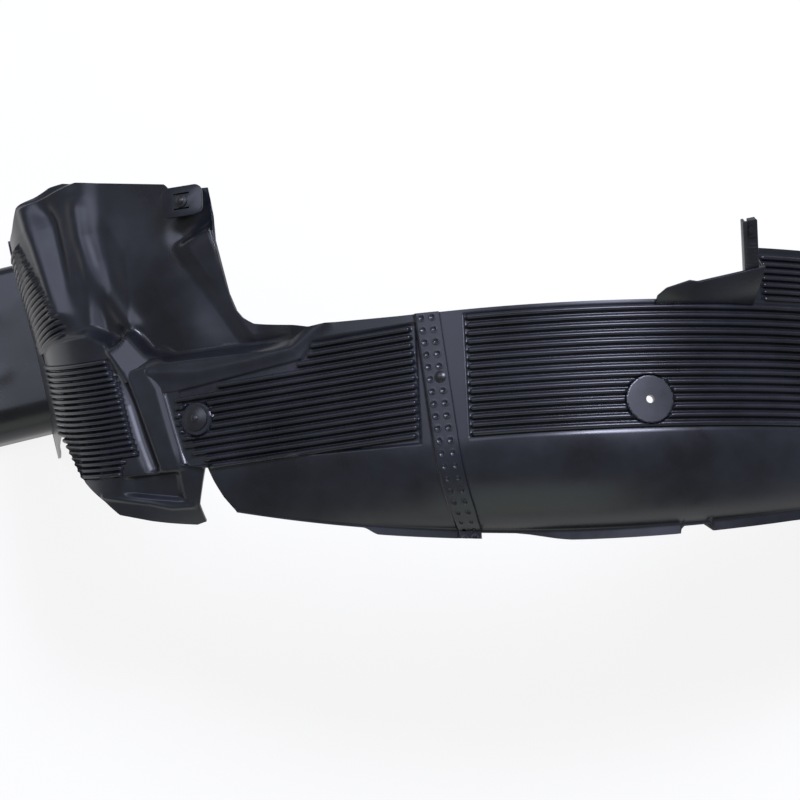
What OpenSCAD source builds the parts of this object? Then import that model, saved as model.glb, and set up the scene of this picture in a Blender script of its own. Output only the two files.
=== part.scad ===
// Wheel arch liner: two welded mouldings with their fasteners.
// The liner stands as it hangs in the car: crown up, front to -X, outboard side to -Y.
// Working frame of the modules: wheel axis along Y at X = 0, Z = 0, and Y = 0 at the
// outboard edge of the flat band. place() moves that frame to the part's own origin.

/* [Arch] */
// Radius of the moulded skin over the tyre
arch_r = 400; // [380:1:420]
// Wall thickness of both mouldings
wall_t = 2.5; // [2:0.1:3.5]
// Height of the wheel axis over the ground that the two legs stand on
axis_h = 20; // [10:1:40]
// Slope of the flat front run, where the arch ends
front_slope = 22; // [20:0.5:24]
// Angle from the crown to the straight rear leg
rear_turn = 78; // [74:1:80]

/* [Band] */
// Radius of the outboard shoulder that turns in over the tyre
shoulder_r = 80; // [70:1:90]
// Angle that the outboard shoulder turns through
shoulder_turn = 68; // [60:1:74]
// Width of the outward lip at the arch edge
lip_w = 8; // [6:0.5:10]
// Width of the flat band of the rear moulding
band_w = 106; // [104:1:110]
// Width of the rear moulding's band behind the bracket
wide_band_w = 150; // [146:1:154]
// Angle from the crown at which the rear band widens
widen_turn = 21; // [20:0.5:22]

/* [Ribs] */
// Height of a rib over the skin
rib_h = 3; // [2:0.1:3.5]
// Width of a rib
rib_w = 3.9; // [3:0.1:4.3]
// Spacing of the ribs on the arch
rib_pitch = 6.8; // [6.6:0.1:7]
// Ribs across the rear panel
rear_ribs = 15; // [12:1:15]
// Ribs on the widened part of the rear panel
wide_ribs = 7; // [4:1:7]
// Spacing of the ribs on the widened part
wide_pitch = 5.8; // [5.6:0.1:6]
// Ribs across the front panel
front_ribs = 14; // [12:1:14]
// Skew of the front panel's ribs
rib_skew = 2.6; // [1:0.1:4]
// Spacing of the ribs round the front corner
corner_pitch = 5.3; // [5:0.1:5.6]
// Ribs round the front corner
corner_ribs = 20; // [14:1:20]
// Ribs in the column on the front wall's edge
column_ribs = 19; // [12:1:19]
// Spacing of the ribs in the column
column_pitch = 5.3; // [5:0.1:5.5]

/* [Seam] */
// Angle from the crown to the front moulding's lapped edge
seam_turn = 15.6; // [15:0.1:16]
// Width of the lap, along the arch
lap_w = 20; // [18:0.5:24]
// Gap between the lapped skins
lap_gap = 0.1; // [0.05:0.05:0.2]
// Radius of a weld dimple
dimple_r = 1.9; // [1.5:0.1:2.2]
// Depth of a weld dimple
dimple_d = 0.9; // [0.5:0.1:1.2]
// Spacing of the weld dimples across the lap
dimple_pitch = 10.2; // [10:0.1:10.4]
// Distance of a row's outer weld dimple from the band's inboard edge
dimple_edge = 4; // [3:0.5:5]

/* [Front corner] */
// Length of the flat front run up to the corner bend
front_run = 290; // [280:1:300]
// Bend radius of the front corner
corner_r = 105; // [100:1:110]
// Turn of the front corner bend
corner_turn = 58; // [54:1:60]
// Angle that the front corner is turned in plan
corner_yaw = 13; // [11:0.5:14]
// Step down from the front panel to the corner panel
corner_step = 1; // [0.8:0.1:1.4]
// Width of the front wall, from the band's outboard edge to its inboard edge
wall_w = 270; // [264:1:276]
// Depth of the hollow between the ribbed panels and the wall
hollow_d = 16; // [8:1:18]
// Height of the slanted bar beside the corner
bar_h = 5; // [3.5:0.5:7]

/* [Apron] */
// Distance of the apron's front edge from the wheel axis
front_reach = 600; // [580:1:620]
// Height of the apron's top over the ground
apron_h = 44; // [40:1:56]
// Radius of the apron's outboard edge
apron_r = 30; // [24:1:34]

/* [Fixings] */
// Radius of the fixing pad on the rear panel
rear_pad_r = 20; // [17:0.5:21]
// Angle from the crown to the rear pad
rear_pad_turn = 6.9; // [6:0.1:8]
// Distance of the rear pad from the band's outboard edge
rear_pad_y = 24; // [22:0.5:26]
// Radius of the fixing hole in the rear pad
rear_hole_r = 3.3; // [2.5:0.1:4.2]
// Radius of the fixing pad on the front panel
front_pad_r = 15; // [13.5:0.5:16]
// Radius of a push rivet's shank
rivet_shank_r = 4; // [3.5:0.1:4.5]
// Radius of the front panel's rivet head
rivet_head_r = 10.5; // [8:0.5:12]
// Radius of the tab's rivet head
tab_head_r = 5.6; // [5:0.1:6.5]
// Radial gap between a rivet and its hole
rivet_gap = 0.15; // [0.1:0.05:0.3]

/* [Hidden] */
black = "#2b2c2e";
rivet_black = "#1f2022";
arc_fn = 180;
ground = -axis_h;

// Places worked out from the sizes above.
lap_turn = lap_w / arch_r * 180 / PI;
lap_start = seam_turn + lap_turn;
joggle_turn = 0.55;
rear_start = lap_start - 0.06;
pad_h = 1.2;
leg_extra = 0.25;
front_pad_at = [-190, 39.5];
tab_at = [-193, 229];
tab_h = 9;
tab_t = wall_t;
tab_skirt = 20;
dimple_rows = 20;
row_turn = [seam_turn + 0.85, seam_turn + 2.15];
leg_slope = 79.5;
leg_yaw = 11.2;

// The part's own origin: bottom centre of its bounding box.
front_tip = -front_reach;
rear_tip = (arch_r + leg_extra + axis_h * cos(rear_turn)) / sin(rear_turn);
lip_y = -(shoulder_r + lip_w + leg_extra) * sin(shoulder_turn) - (wall_t / 2 + leg_extra) * cos(shoulder_turn);
module place()
    translate([-(front_tip + rear_tip) / 2, -(lip_y + wall_w) / 2, axis_h]) children();

// Sweep a section about the Y axis, from angle a1 to a2, measured from the crown to the rear.
module turn_about_y(a1, a2)
    rotate([-90, 0, 0]) rotate([0, 0, a1 - 90])
        rotate_extrude(angle = a2 - a1, $fn = arc_fn) children();

// Run a section (height, Y) straight along X.
module run_x(x1, x2)
    translate([x1, 0, 0]) rotate([0, 90, 0])
        linear_extrude(x2 - x1) mirror([1, 0]) children();

// Frame of the flat front run: X back along the slope from its far end, Z out of the skin.
module on_panel()
    translate([-arch_r * sin(front_slope), 0, arch_r * cos(front_slope)])
        rotate([0, -front_slope, 0]) children();

// Frame of the corner: as the front run, turned in plan about a point on the wall.
module on_corner()
    on_panel() translate([-front_run, 150, -corner_step])
        rotate([0, 0, corner_yaw]) translate([0, -150, 0]) children();

// Frame on the arch skin at an angle from the crown: X to the rear, Z out.
module on_arch(a)
    rotate([0, a, 0]) translate([0, 0, arch_r]) children();

// One skin of the shoulder: a ring sector below the band's outboard edge.
module shoulder_ring(out, thick, turn) {
    far = 2 * shoulder_r;
    translate([-shoulder_r, 0]) intersection() {
        difference() {
            circle(r = shoulder_r + out, $fn = arc_fn);
            circle(r = shoulder_r + out - thick, $fn = arc_fn);
        }
        polygon([[0, 0], [far, 0], [far, -far], [far * cos(turn), -far * sin(turn)]]);
    }
}

// The outward lip at the shoulder's end.
module lip_section(out, shift)
    translate([-shoulder_r, 0]) rotate(-shoulder_turn)
        translate([shoulder_r - wall_t / 2 + out, shift - wall_t / 2])
            square([wall_t / 2 + lip_w - out, wall_t]);

// Band, shoulder and lip as one skin.
module band_section(inboard) {
    translate([-wall_t, 0]) square([wall_t, inboard]);
    shoulder_ring(0, wall_t, shoulder_turn);
    lip_section(0, 0);
}

// The same skin, thicker on both faces, for the straight legs.
module thick_band_section(inboard, extra) {
    turn = shoulder_turn + extra / shoulder_r * 180 / PI;
    translate([-wall_t - extra, 0]) square([wall_t + 2 * extra, inboard + extra]);
    shoulder_ring(extra, wall_t + 2 * extra, turn);
    translate([-shoulder_r, 0]) rotate(-shoulder_turn)
        translate([shoulder_r - wall_t / 2, -wall_t / 2 - extra])
            square([wall_t / 2 + lip_w + extra, wall_t + 2 * extra]);
}

// The lapping skin that lies on the band.
module lap_section(inboard) {
    out = wall_t + lap_gap;
    lap_turn_end = shoulder_turn - (wall_t / 2 + lap_gap) / shoulder_r * 180 / PI;
    translate([lap_gap, 0]) square([wall_t, inboard]);
    shoulder_ring(out, wall_t, lap_turn_end);
    lip_section(out, wall_t + lap_gap);
}

// The thick step that joins a skin to its lap, a little proud of both.
module joggle_section(inboard) {
    thick = 2 * wall_t + lap_gap + 2 * leg_extra;
    translate([-wall_t - leg_extra, 0]) square([thick, inboard + leg_extra]);
    shoulder_ring(lap_top + leg_extra, thick, shoulder_turn - 1);
    translate([-shoulder_r, 0]) rotate(-shoulder_turn)
        translate([shoulder_r - wall_t / 2, -wall_t / 2 - leg_extra])
            square([wall_t / 2 + lip_w + leg_extra, lap_top + wall_t / 2 + 2 * leg_extra]);
}

// A rib's round-topped section, rooted in the skin.
module rib_section(w = rib_w)
    polygon(concat(
        [[-1, -w / 2]],
        [for (a = [-90 : 30 : 90]) [rib_h * cos(a), w / 2 * sin(a)]],
        [[-1, w / 2]]
    ));

function rear_rib_y(i) = 4 + i * rib_pitch;
function wide_rib_y(i) = rear_rib_y(rear_ribs - 1) + rib_pitch + 1 + i * wide_pitch;

module rear_ribs() {
    panel_start = seam_turn - 2.6;
    panel_end = 58;
    difference() {
        union() {
            for (i = [0 : rear_ribs - 1])
                turn_about_y(-panel_start, panel_end)
                    translate([arch_r, rear_rib_y(i)]) rib_section();
            for (i = [0 : wide_ribs - 1])
                turn_about_y(widen_turn + 1, panel_end)
                    translate([arch_r, wide_rib_y(i)]) rib_section(rib_w - 0.5);
        }
        on_arch(rear_pad_turn) translate([0, rear_pad_y, -5])
            cylinder(r = rear_pad_r + 0.8, h = 20, $fn = 96);
    }
}

// The raised bracket on the band's inboard edge: a leaning gusset, its foot and its arm.
bracket_turn = 13.4;
bracket_lean = 50;
arm_lean = 38;
arm_skew = 14;
arm_l = 54;
arm_w = 12;
module on_gusset()
    on_arch(bracket_turn) translate([0, band_w - 4, -3]) rotate([bracket_lean, 0, 0]) children();
module on_arm()
    on_gusset() translate([41, 27, 0]) rotate([arm_lean - bracket_lean, 0, arm_skew]) children();

module bracket() {
    on_gusset() linear_extrude(wall_t)
        polygon([[-50, 0], [-46, 9], [-20, 19], [-14, 18], [49, 33], [49, 0]]);
    on_gusset() translate([49 - wall_t, 0, -16]) cube([wall_t, 30, 17]);
    on_arm() translate([-arm_w / 2, -2, 0]) cube([arm_w, arm_l, wall_t]);
    on_arm() translate([-arm_w / 2, -2, -5]) cube([wall_t, arm_l, 6]);
}

module rear_section() color(black) place() {
    difference() {
        union() {
            difference() {
                turn_about_y(-rear_start, rear_turn)
                    translate([arch_r, 0]) band_section(wide_band_w);
                turn_about_y(-lap_start - 2, widen_turn)
                    translate([arch_r - 10, band_w]) square([20, wide_band_w]);
            }
            rotate([0, rear_turn, 0]) translate([0, 0, arch_r]) run_x(-3, arch_r / 2)
                thick_band_section(wide_band_w, leg_extra);
            rear_ribs();
            on_arch(rear_pad_turn) translate([0, rear_pad_y, -wall_t / 2])
                cylinder(r = rear_pad_r, h = wall_t / 2 + pad_h, $fn = 96);
            bracket();
        }
        on_arch(rear_pad_turn) translate([0, rear_pad_y, -20])
            cylinder(r = rear_hole_r, h = 40, $fn = 48);
        on_arch(seam_rivet_turn) translate([0, seam_rivet_y, -20])
            cylinder(r = seam_shank_r + rivet_gap, h = 40, $fn = 48);
        translate([-front_run, -arch_r, ground - 300]) cube([3 * arch_r, 2 * arch_r, 300]);
    }
}

// Weld dimples: two rows over the lap, on the band and round the shoulder.
dimple_ball = (dimple_r * dimple_r + dimple_d * dimple_d) / (2 * dimple_d);
lap_top = wall_t + lap_gap;
function dimple_q(i) = band_w - dimple_edge - i * dimple_pitch;
module dimples()
    for (turn = row_turn, i = [0 : dimple_rows - 1]) {
        q = dimple_q(i);
        lift = lap_top + dimple_ball - dimple_d;
        if (q >= 0)
            on_arch(-turn) translate([0, q, lift]) sphere(r = dimple_ball, $fn = 24);
        else
            on_arch(-turn) translate([0, 0, -shoulder_r])
                rotate([-q / shoulder_r * 180 / PI, 0, 0])
                    translate([0, 0, shoulder_r + lift]) sphere(r = dimple_ball, $fn = 24);
    }

// Outlines in the frame of the front run.
panel_rib_area = [
    [9, 96], [12, 60], [12, 10], [9, 1], [0, -1.5], [-178, -1.5], [-186, 6], [-203, 14],
    [-206, 28], [-213, 40], [-211, 60], [-148, 69], [-90, 76], [-82, 84], [-76, 100],
    [-64, 104], [-8, 103], [5, 101]
];
front_keep = [
    [40, band_w + 0.5], [-70, band_w + 2.5], [-84, band_w], [-98, 94], [-232, 92], [-232, 0],
    [-186, 0], [-182, -12], [-176, -28], [-168, -40], [-158, -48], [-146, -52], [-20, -66],
    [-18, -90], [40, -90]
];
module front_keep_block() translate([0, 0, -120]) linear_extrude(240) polygon(front_keep);

module front_run_skin() {
    turn_about_y(-front_slope, -(lap_start + joggle_turn / 2))
        translate([arch_r, 0]) band_section(band_w);
    on_panel() intersection() {
        run_x(-232, 0) band_section(band_w + 2);
        front_keep_block();
    }
    turn_about_y(-(lap_start + joggle_turn), -lap_start)
        translate([arch_r, 0]) joggle_section(band_w);
    turn_about_y(-(lap_start + joggle_turn / 2), -seam_turn)
        translate([arch_r, 0]) lap_section(band_w);
}

module front_panel_ribs() on_panel() difference() {
    intersection() {
        for (i = [0 : front_ribs - 1])
            translate([0, 5.5 + i * rib_pitch, 0]) rotate([0, 0, rib_skew])
                run_x(-230, 14) rib_section();
        translate([0, 0, -2]) linear_extrude(12) polygon(panel_rib_area);
    }
    translate([front_pad_at.x, front_pad_at.y, -5])
        cylinder(r = front_pad_r + 0.8, h = 20, $fn = 96);
}

// Sweep a section round the corner: flat, bend and leg.
corner_flat = 92;
corner_in = 130;
module sweep_corner(flat, leg) {
    run_x(0, flat) children();
    translate([0, 0, -corner_r]) turn_about_y(-corner_turn, 0)
        translate([corner_r, 0]) children();
    if (leg > 0)
        translate([0, 0, -corner_r]) rotate([0, -corner_turn, 0]) translate([0, 0, corner_r])
            run_x(-leg, 0) children();
}

// The corner's skin in front of the slanted bar, cut to its outline.
corner_keep = [
    [-262, 134], [-250, 100], [-228, 92], [-215, 60], [-206, 0], [-183, -2], [-180, -34],
    [-197, -35], [-199, -54], [-230, -50], [-277, -37], [-300, -30], [-335, -14], [-420, 12],
    [-600, 40], [-600, 136]
];
leg_keep = [[-320, -20], [-420, 12], [-600, 40], [-600, 300], [-320, 300]];
leg_l = 250;
module corner_skin() {
    intersection() {
        on_corner() sweep_corner(corner_flat, 0) band_section(corner_in);
        on_panel() translate([0, 0, -200]) linear_extrude(260) polygon(corner_keep);
    }
    intersection() {
        on_corner() translate([0, 0, -corner_r]) rotate([0, -corner_turn, 0])
            translate([0, 0, corner_r]) run_x(-leg_l, 3) thick_band_section(wall_w - 12, leg_extra);
        on_panel() translate([0, 0, -300]) linear_extrude(360) polygon(leg_keep);
    }
}

// Ribs round the corner: slabs that cut a raised skin in parallel planes.
rib_tilt = 19;
corner_rib_top = 97;
corner_rib_area = [
    [-279, 96], [-277, 88], [-270, 78], [-264, 55], [-257, 28], [-250, 12], [-266, 6],
    [-268, -14], [-275, -60], [-500, -60], [-500, 120], [-350, 104]
];
module rib_skin_section() {
    translate([-1, 0]) square([rib_h + 1, corner_in]);
    shoulder_ring(rib_h, rib_h + 1, 40);
}
module corner_ribs_all() intersection() {
    on_corner() sweep_corner(corner_flat, 30) rib_skin_section();
    on_panel() translate([0, 0, -200]) linear_extrude(260) polygon(corner_rib_area);
    on_panel() rotate([rib_tilt, 0, rib_skew])
        for (i = [0 : corner_ribs - 1])
            translate([-600, corner_rib_top - i * corner_pitch * cos(rib_tilt) - 1.7, -300])
                cube([500, 3.4, 400]);
}

// The column of short ribs on the wall's front edge.
module column_ribs_all() on_corner() translate([0, 0, -corner_r])
    for (i = [0 : column_ribs - 1])
        turn_about_y(-corner_turn + 2, -26 + 0.4 * i)
            translate([corner_r, 142 + i * column_pitch]) rib_section(3.7);

// Wall relief: heights over the corner's skin, at a point of the unrolled front.
function smooth(t) = let (c = min(1, max(0, t))) c * c * (3 - 2 * c);
function seg_dist(p, a, b) =
    let (ab = b - a, k = min(1, max(0, ((p - a) * ab) / (ab * ab)))) norm(p - a - k * ab);
function swell(p, a, b, w, high) = high * exp(-pow(seg_dist(p, a, b) / w, 2));
function wall_edge_y(s) =
    s < 226 ? 93
    : s < 261 ? 93 - (s - 226) * 0.26
    : s < 281 ? 84 + (s - 261) * 1.6
    : 126;
function ramp_w(s) = 12 + 12 * smooth((s - 215) / 20) * smooth((285 - s) / 15);
function wall_relief(p, u) =
    let (d = p.y - wall_edge_y(p.x))
    let (sunk = -1.3 - hollow_d * smooth(d / ramp_w(p.x)) * (1 - 0.75 * smooth((d - 25) / 90)))
    let (shelf = smooth((p.x - 285) / 20))
    let (fade = smooth((u + 46) / 14))
    let (ridges =
        swell(p, [306, 228], [296, 195], 10, 8) + swell(p, [292, 185], [264, 134], 10, 8)
        + swell(p, [350, 248], [326, 180], 9, 7) - swell(p, [332, 243], [318, 190], 9, 8)
        + swell(p, [207, 148], [203, 124], 24, 9) - swell(p, [203, 172], [156, 104], 8, 7)
        - swell(p, [205, 205], [180, 208], 12, 7))
    let (fold = -7 * smooth(seg_side(p, [305, 267], [372, 250]) / 6))
    -0.6 + ((sunk + 0.6) * (1 - 0.45 * shelf) + ridges * smooth(d / 12)) * fade + fold * fade;
function seg_side(p, a, b) =
    let (n = [b.y - a.y, a.x - b.x] / norm(b - a)) -((p - a) * n);

// Point of the wall's sheet in the corner's frame, from its run along the path and its Y.
bend_l = corner_r * corner_turn * PI / 180;
function unrolled(u, y) = [
    front_run - u * cos(corner_yaw) + (y - 150) * sin(corner_yaw),
    150 + u * sin(corner_yaw) + (y - 150) * cos(corner_yaw)
];
function on_path(u, y, h) =
    u >= 0 ? [u, y, h]
    : u >= -bend_l ? let (a = -u / corner_r * 180 / PI)
        [-(corner_r + h) * sin(a), y, (corner_r + h) * cos(a) - corner_r]
    : let (d = -u - bend_l)
        [
            -(corner_r + h) * sin(corner_turn) - d * cos(corner_turn), y,
            (corner_r + h) * cos(corner_turn) - corner_r - d * sin(corner_turn)
        ];

// A closed sheet over a grid: rows of the upper face, then rows of the lower face.
wall_u = concat([for (u = [-115 : 9 : -7]) u], [for (u = [2 : 9 : 200]) u]);
wall_y = [for (y = [52 : 7.5 : 290]) y];
module wall_sheet() {
    nu = len(wall_u);
    ny = len(wall_y);
    count = nu * ny;
    points = [
        for (drop = [0, wall_t], u = wall_u, y = wall_y)
            on_path(u, y, wall_relief(unrolled(u, y), u) - drop)
    ];
    function at(layer, i, j) = layer * count + i * ny + j;
    polyhedron(points = points, faces = concat(
        [for (i = [0 : nu - 2], j = [0 : ny - 2]) each [
            [at(0, i, j), at(0, i, j + 1), at(0, i + 1, j + 1)],
            [at(0, i, j), at(0, i + 1, j + 1), at(0, i + 1, j)],
            [at(1, i, j), at(1, i + 1, j + 1), at(1, i, j + 1)],
            [at(1, i, j), at(1, i + 1, j), at(1, i + 1, j + 1)]
        ]],
        [for (i = [0 : nu - 2], j = [0, ny - 1]) each
            let (a = at(0, i, j), b = at(0, i + 1, j), c = at(1, i + 1, j), d = at(1, i, j))
            j == 0 ? [[a, b, c], [a, c, d]] : [[a, c, b], [a, d, c]]],
        [for (j = [0 : ny - 2], i = [0, nu - 1]) each
            let (a = at(0, i, j), b = at(0, i, j + 1), c = at(1, i, j + 1), d = at(1, i, j))
            i == 0 ? [[a, c, b], [a, d, c]] : [[a, b, c], [a, c, d]]]
    ), convexity = 10);
}
wall_outline = [
    [-84, 103], [-98, 90], [-226, 88], [-246, 80], [-261, 80], [-280, 107], [-284, 123],
    [-500, 123], [-500, 200], [-392, 236], [-376, 254], [-345, 268], [-327, wall_w],
    [-280, 262], [-219, 252], [-213, 245], [-176, 243], [-173, 227], [-171, 211],
    [-168, 184], [-164, 158], [-158, 135], [-150, 125], [-140, 119], [-98, 111], [-84, 108]
];
module wall() intersection() {
    on_corner() wall_sheet();
    on_panel() translate([0, 0, -150]) linear_extrude(200) polygon(wall_outline);
}

// The slanted bar beside the corner panel, open underneath.
bar_outline = [[-226, 70], [-216, 34], [-205, -3], [-232, 2], [-244, 30], [-263, 80], [-246, 86]];
bar_root = 3;
module bar_block()
    on_panel() translate([0, 0, -bar_root]) linear_extrude(bar_h + bar_root) polygon(bar_outline);
module bar_hollow() on_panel() translate([0, 0, -4 * wall_t])
    linear_extrude(bar_h + 3 * wall_t) offset(delta = -wall_t) polygon(bar_outline);

// The fixing tab that stands over the wall's corner.
tab_l = 40;
tab_w = 27;
slot_l = 15;
slot_w = 1.3;
slot_y = 6.6;
module on_tab() on_panel() translate([tab_at.x, tab_at.y, tab_h]) children();
module tab() on_tab() {
    linear_extrude(tab_t) offset(r = 7, $fn = 32) offset(delta = -7)
        square([tab_l, tab_w], center = true);
    translate([-tab_l / 2 - 1, -tab_w / 2 + 6, -tab_skirt]) cube([wall_t, tab_w - 7, tab_skirt + 2]);
    translate([-tab_l / 2, tab_w / 2 - wall_t, -tab_skirt]) cube([tab_l - 6, wall_t, tab_skirt + 2]);
}
module tab_cuts() on_tab() {
    translate([0, 0, -20]) cylinder(r = rivet_shank_r + rivet_gap, h = 40, $fn = 48);
    for (side = [-1, 1])
        translate([-slot_l / 2, side * slot_y - slot_w / 2, -1]) cube([slot_l, slot_w, tab_t + 2]);
}

// The apron in front of the leg, an inverted tray that stands on the ground.
apron_x = -508;
apron_y = 124.5;
apron_out = -14;
apron_in = 118;
apron_in_r = 12;
module on_apron()
    translate([apron_x, apron_y, ground + apron_h]) rotate([0, 0, leg_yaw]) children();
module corner_ring(r) difference() {
    circle(r = r, $fn = arc_fn);
    circle(r = r - wall_t, $fn = arc_fn);
    translate([-2 * r, -r]) square([2 * r, 3 * r]);
    translate([-r, 0]) square([3 * r, 2 * r]);
}
module apron_section() {
    translate([-wall_t, apron_out]) square([wall_t, apron_in - apron_out]);
    translate([-apron_r, apron_out]) corner_ring(apron_r);
    translate([-apron_in_r, apron_in]) mirror([0, 1]) corner_ring(apron_in_r);
    translate([-apron_h, apron_out - apron_r]) square([apron_h - apron_r, wall_t]);
    translate([-apron_h, apron_in + apron_in_r - wall_t]) square([apron_h - apron_in_r, wall_t]);
}

module front_section() color(black) place() difference() {
    union() {
        difference() {
            union() {
                front_run_skin();
                corner_skin();
                on_apron() run_x(-160, 4) apron_section();
                bar_block();
            }
            bar_hollow();
            on_apron() translate([1, apron_out - 8, -apron_h - 20])
                cube([90, wall_w, apron_h + 20 - wall_t]);
        }
        front_panel_ribs();
        corner_ribs_all();
        column_ribs_all();
        wall();
        tab();
        on_panel() translate([front_pad_at.x, front_pad_at.y, -wall_t / 2])
            cylinder(r = front_pad_r, h = wall_t / 2 + pad_h, $fn = 96);
    }
    tab_cuts();
    dimples();
    on_panel() translate([front_pad_at.x, front_pad_at.y, -20])
        cylinder(r = rivet_shank_r + rivet_gap, h = 40, $fn = 48);
    on_arch(seam_rivet_turn) translate([0, seam_rivet_y, -20])
        cylinder(r = seam_shank_r + rivet_gap, h = 40, $fn = 48);
    translate([-1000, -arch_r, ground - 300]) cube([1400, 2 * arch_r, 300]);
    translate([front_tip - 300, -arch_r, ground - 10]) cube([300, 2 * arch_r, arch_r]);
}

// Push rivets: a split body with a domed head, and the pin that spreads it.
pin_gap = 0.1;
module push_rivet_body(head_r, head_h, grip) {
    pin_r = rivet_shank_r * 0.5;
    difference() {
        union() {
            intersection() {
                cylinder(r = head_r, h = head_h, $fn = 64);
                translate([0, 0, head_h - head_r * 2.6]) sphere(r = head_r * 2.6, $fn = 96);
            }
            translate([0, 0, -grip - 7]) cylinder(r = rivet_shank_r, h = grip + 7.01, $fn = 48);
            translate([0, 0, -grip - 10]) cylinder(r1 = rivet_shank_r * 0.7, r2 = rivet_shank_r, h = 3.01, $fn = 48);
        }
        translate([0, 0, -grip - 20]) cylinder(r = pin_r + pin_gap, h = grip + 40, $fn = 48);
        for (turn = [0, 90])
            rotate(turn) translate([-head_r, -0.4, -grip - 11]) cube([2 * head_r, 0.8, grip + 8]);
    }
}
module push_rivet_pin(head_h, grip) {
    pin_r = rivet_shank_r * 0.5;
    translate([0, 0, -grip - 8]) cylinder(r = pin_r, h = grip + 8.5 + head_h, $fn = 48);
    translate([0, 0, head_h + 0.1]) intersection() {
        cylinder(r = pin_r + 1.3, h = 1.4, $fn = 48);
        translate([0, 0, -4.6]) sphere(r = 6, $fn = 64);
    }
}
panel_head_h = 3.2;
tab_head_hh = 2.4;
module on_front_pad()
    on_panel() translate([front_pad_at.x, front_pad_at.y, pad_h + 0.05]) children();
module panel_rivet_body() color(rivet_black) place() on_front_pad()
    push_rivet_body(rivet_head_r, panel_head_h, wall_t + pad_h);
module panel_rivet_pin() color(rivet_black) place() on_front_pad()
    push_rivet_pin(panel_head_h, wall_t + pad_h);
module tab_rivet_body() color(rivet_black) place() on_tab() translate([0, 0, tab_t + 0.05])
    push_rivet_body(tab_head_r, tab_head_hh, tab_t);
module tab_rivet_pin() color(rivet_black) place() on_tab() translate([0, 0, tab_t + 0.05])
    push_rivet_pin(tab_head_hh, tab_t);

// The one rivet through the seam, beside the weld dimples.
seam_rivet_turn = -(seam_turn + 1.55);
seam_rivet_y = 52;
seam_shank_r = 2.5;
seam_head_r = 5;
module seam_rivet() color(rivet_black) place()
    on_arch(seam_rivet_turn) translate([0, seam_rivet_y, lap_top + 0.05]) {
        intersection() {
            cylinder(r = seam_head_r, h = 2, $fn = 48);
            translate([0, 0, -6]) sphere(r = 8, $fn = 64);
        }
        translate([0, 0, -2 * wall_t - lap_gap - 2]) cylinder(r = seam_shank_r, h = 2 * wall_t + lap_gap + 2.01, $fn = 48);
        translate([0, 0, -2 * wall_t - lap_gap - 2.8]) cylinder(r = seam_head_r - 1, h = 1.6, $fn = 48);
    }

// The spring clip on the end of the bracket's arm: a folded strip.
clip_t = 1.2;
clip_l = 15;
module bracket_clip() color(rivet_black) place() on_arm()
    translate([0, arm_l - 2 - clip_l + clip_t + 0.1, 0]) {
        clip_w = arm_w - 3;
        translate([-clip_w / 2 + 2.6, 0, wall_t + 0.05]) cube([clip_w - 2.6, clip_l, clip_t]);
        translate([-clip_w / 2 + 2.6, clip_l - clip_t, -clip_t - 0.05])
            cube([clip_w - 2.6, clip_t, wall_t + 2 * clip_t + 0.1]);
        translate([-clip_w / 2 + 2.6, 0, -clip_t - 0.05]) cube([clip_w - 2.6, clip_l, clip_t]);
        translate([0, clip_l / 2, wall_t + clip_t]) cylinder(r = 2.6, h = 2, $fn = 32);
    }

rear_section();
front_section();
panel_rivet_body();
panel_rivet_pin();
tab_rivet_body();
tab_rivet_pin();
seam_rivet();
bracket_clip();
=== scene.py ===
"""Wheel arch liner: two lapped mouldings and their fasteners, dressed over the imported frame."""

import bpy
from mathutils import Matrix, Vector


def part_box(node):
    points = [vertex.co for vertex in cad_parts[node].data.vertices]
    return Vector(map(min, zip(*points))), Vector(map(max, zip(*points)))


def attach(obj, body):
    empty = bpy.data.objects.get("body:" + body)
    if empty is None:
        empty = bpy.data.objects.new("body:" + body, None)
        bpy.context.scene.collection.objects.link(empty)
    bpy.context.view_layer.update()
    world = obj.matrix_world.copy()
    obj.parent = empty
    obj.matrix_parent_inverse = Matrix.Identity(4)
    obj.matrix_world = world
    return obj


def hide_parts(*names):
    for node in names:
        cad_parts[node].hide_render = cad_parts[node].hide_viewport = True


bl_info = {
    "name": "Wheel Arch Liner",
    "version": (1, 0, 0),
    "blender": (4, 5, 0),
    "location": "View3D > Sidebar > Liner",
    "description": "Builds a moulded wheel arch liner, its fasteners, its finishes and its stage",
    "category": "Object",
}

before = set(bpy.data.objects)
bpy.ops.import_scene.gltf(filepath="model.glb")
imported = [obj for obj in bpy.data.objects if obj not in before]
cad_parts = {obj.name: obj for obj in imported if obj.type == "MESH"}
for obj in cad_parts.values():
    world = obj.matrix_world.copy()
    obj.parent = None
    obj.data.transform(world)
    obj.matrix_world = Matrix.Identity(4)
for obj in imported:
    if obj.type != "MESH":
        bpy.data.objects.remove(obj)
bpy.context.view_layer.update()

import math

import bmesh
import bpy
import mathutils
import numpy as np

MM = 0.001


# Sizes and colours that a user may change


def number(name, about, default):
    """A number among the scene's settings."""
    return bpy.props.FloatProperty(name=name, description=about, default=default)


def hex_colour(name, about, default):
    """An sRGB colour among the scene's settings."""
    return bpy.props.StringProperty(name=name, description=about, default=default)


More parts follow.
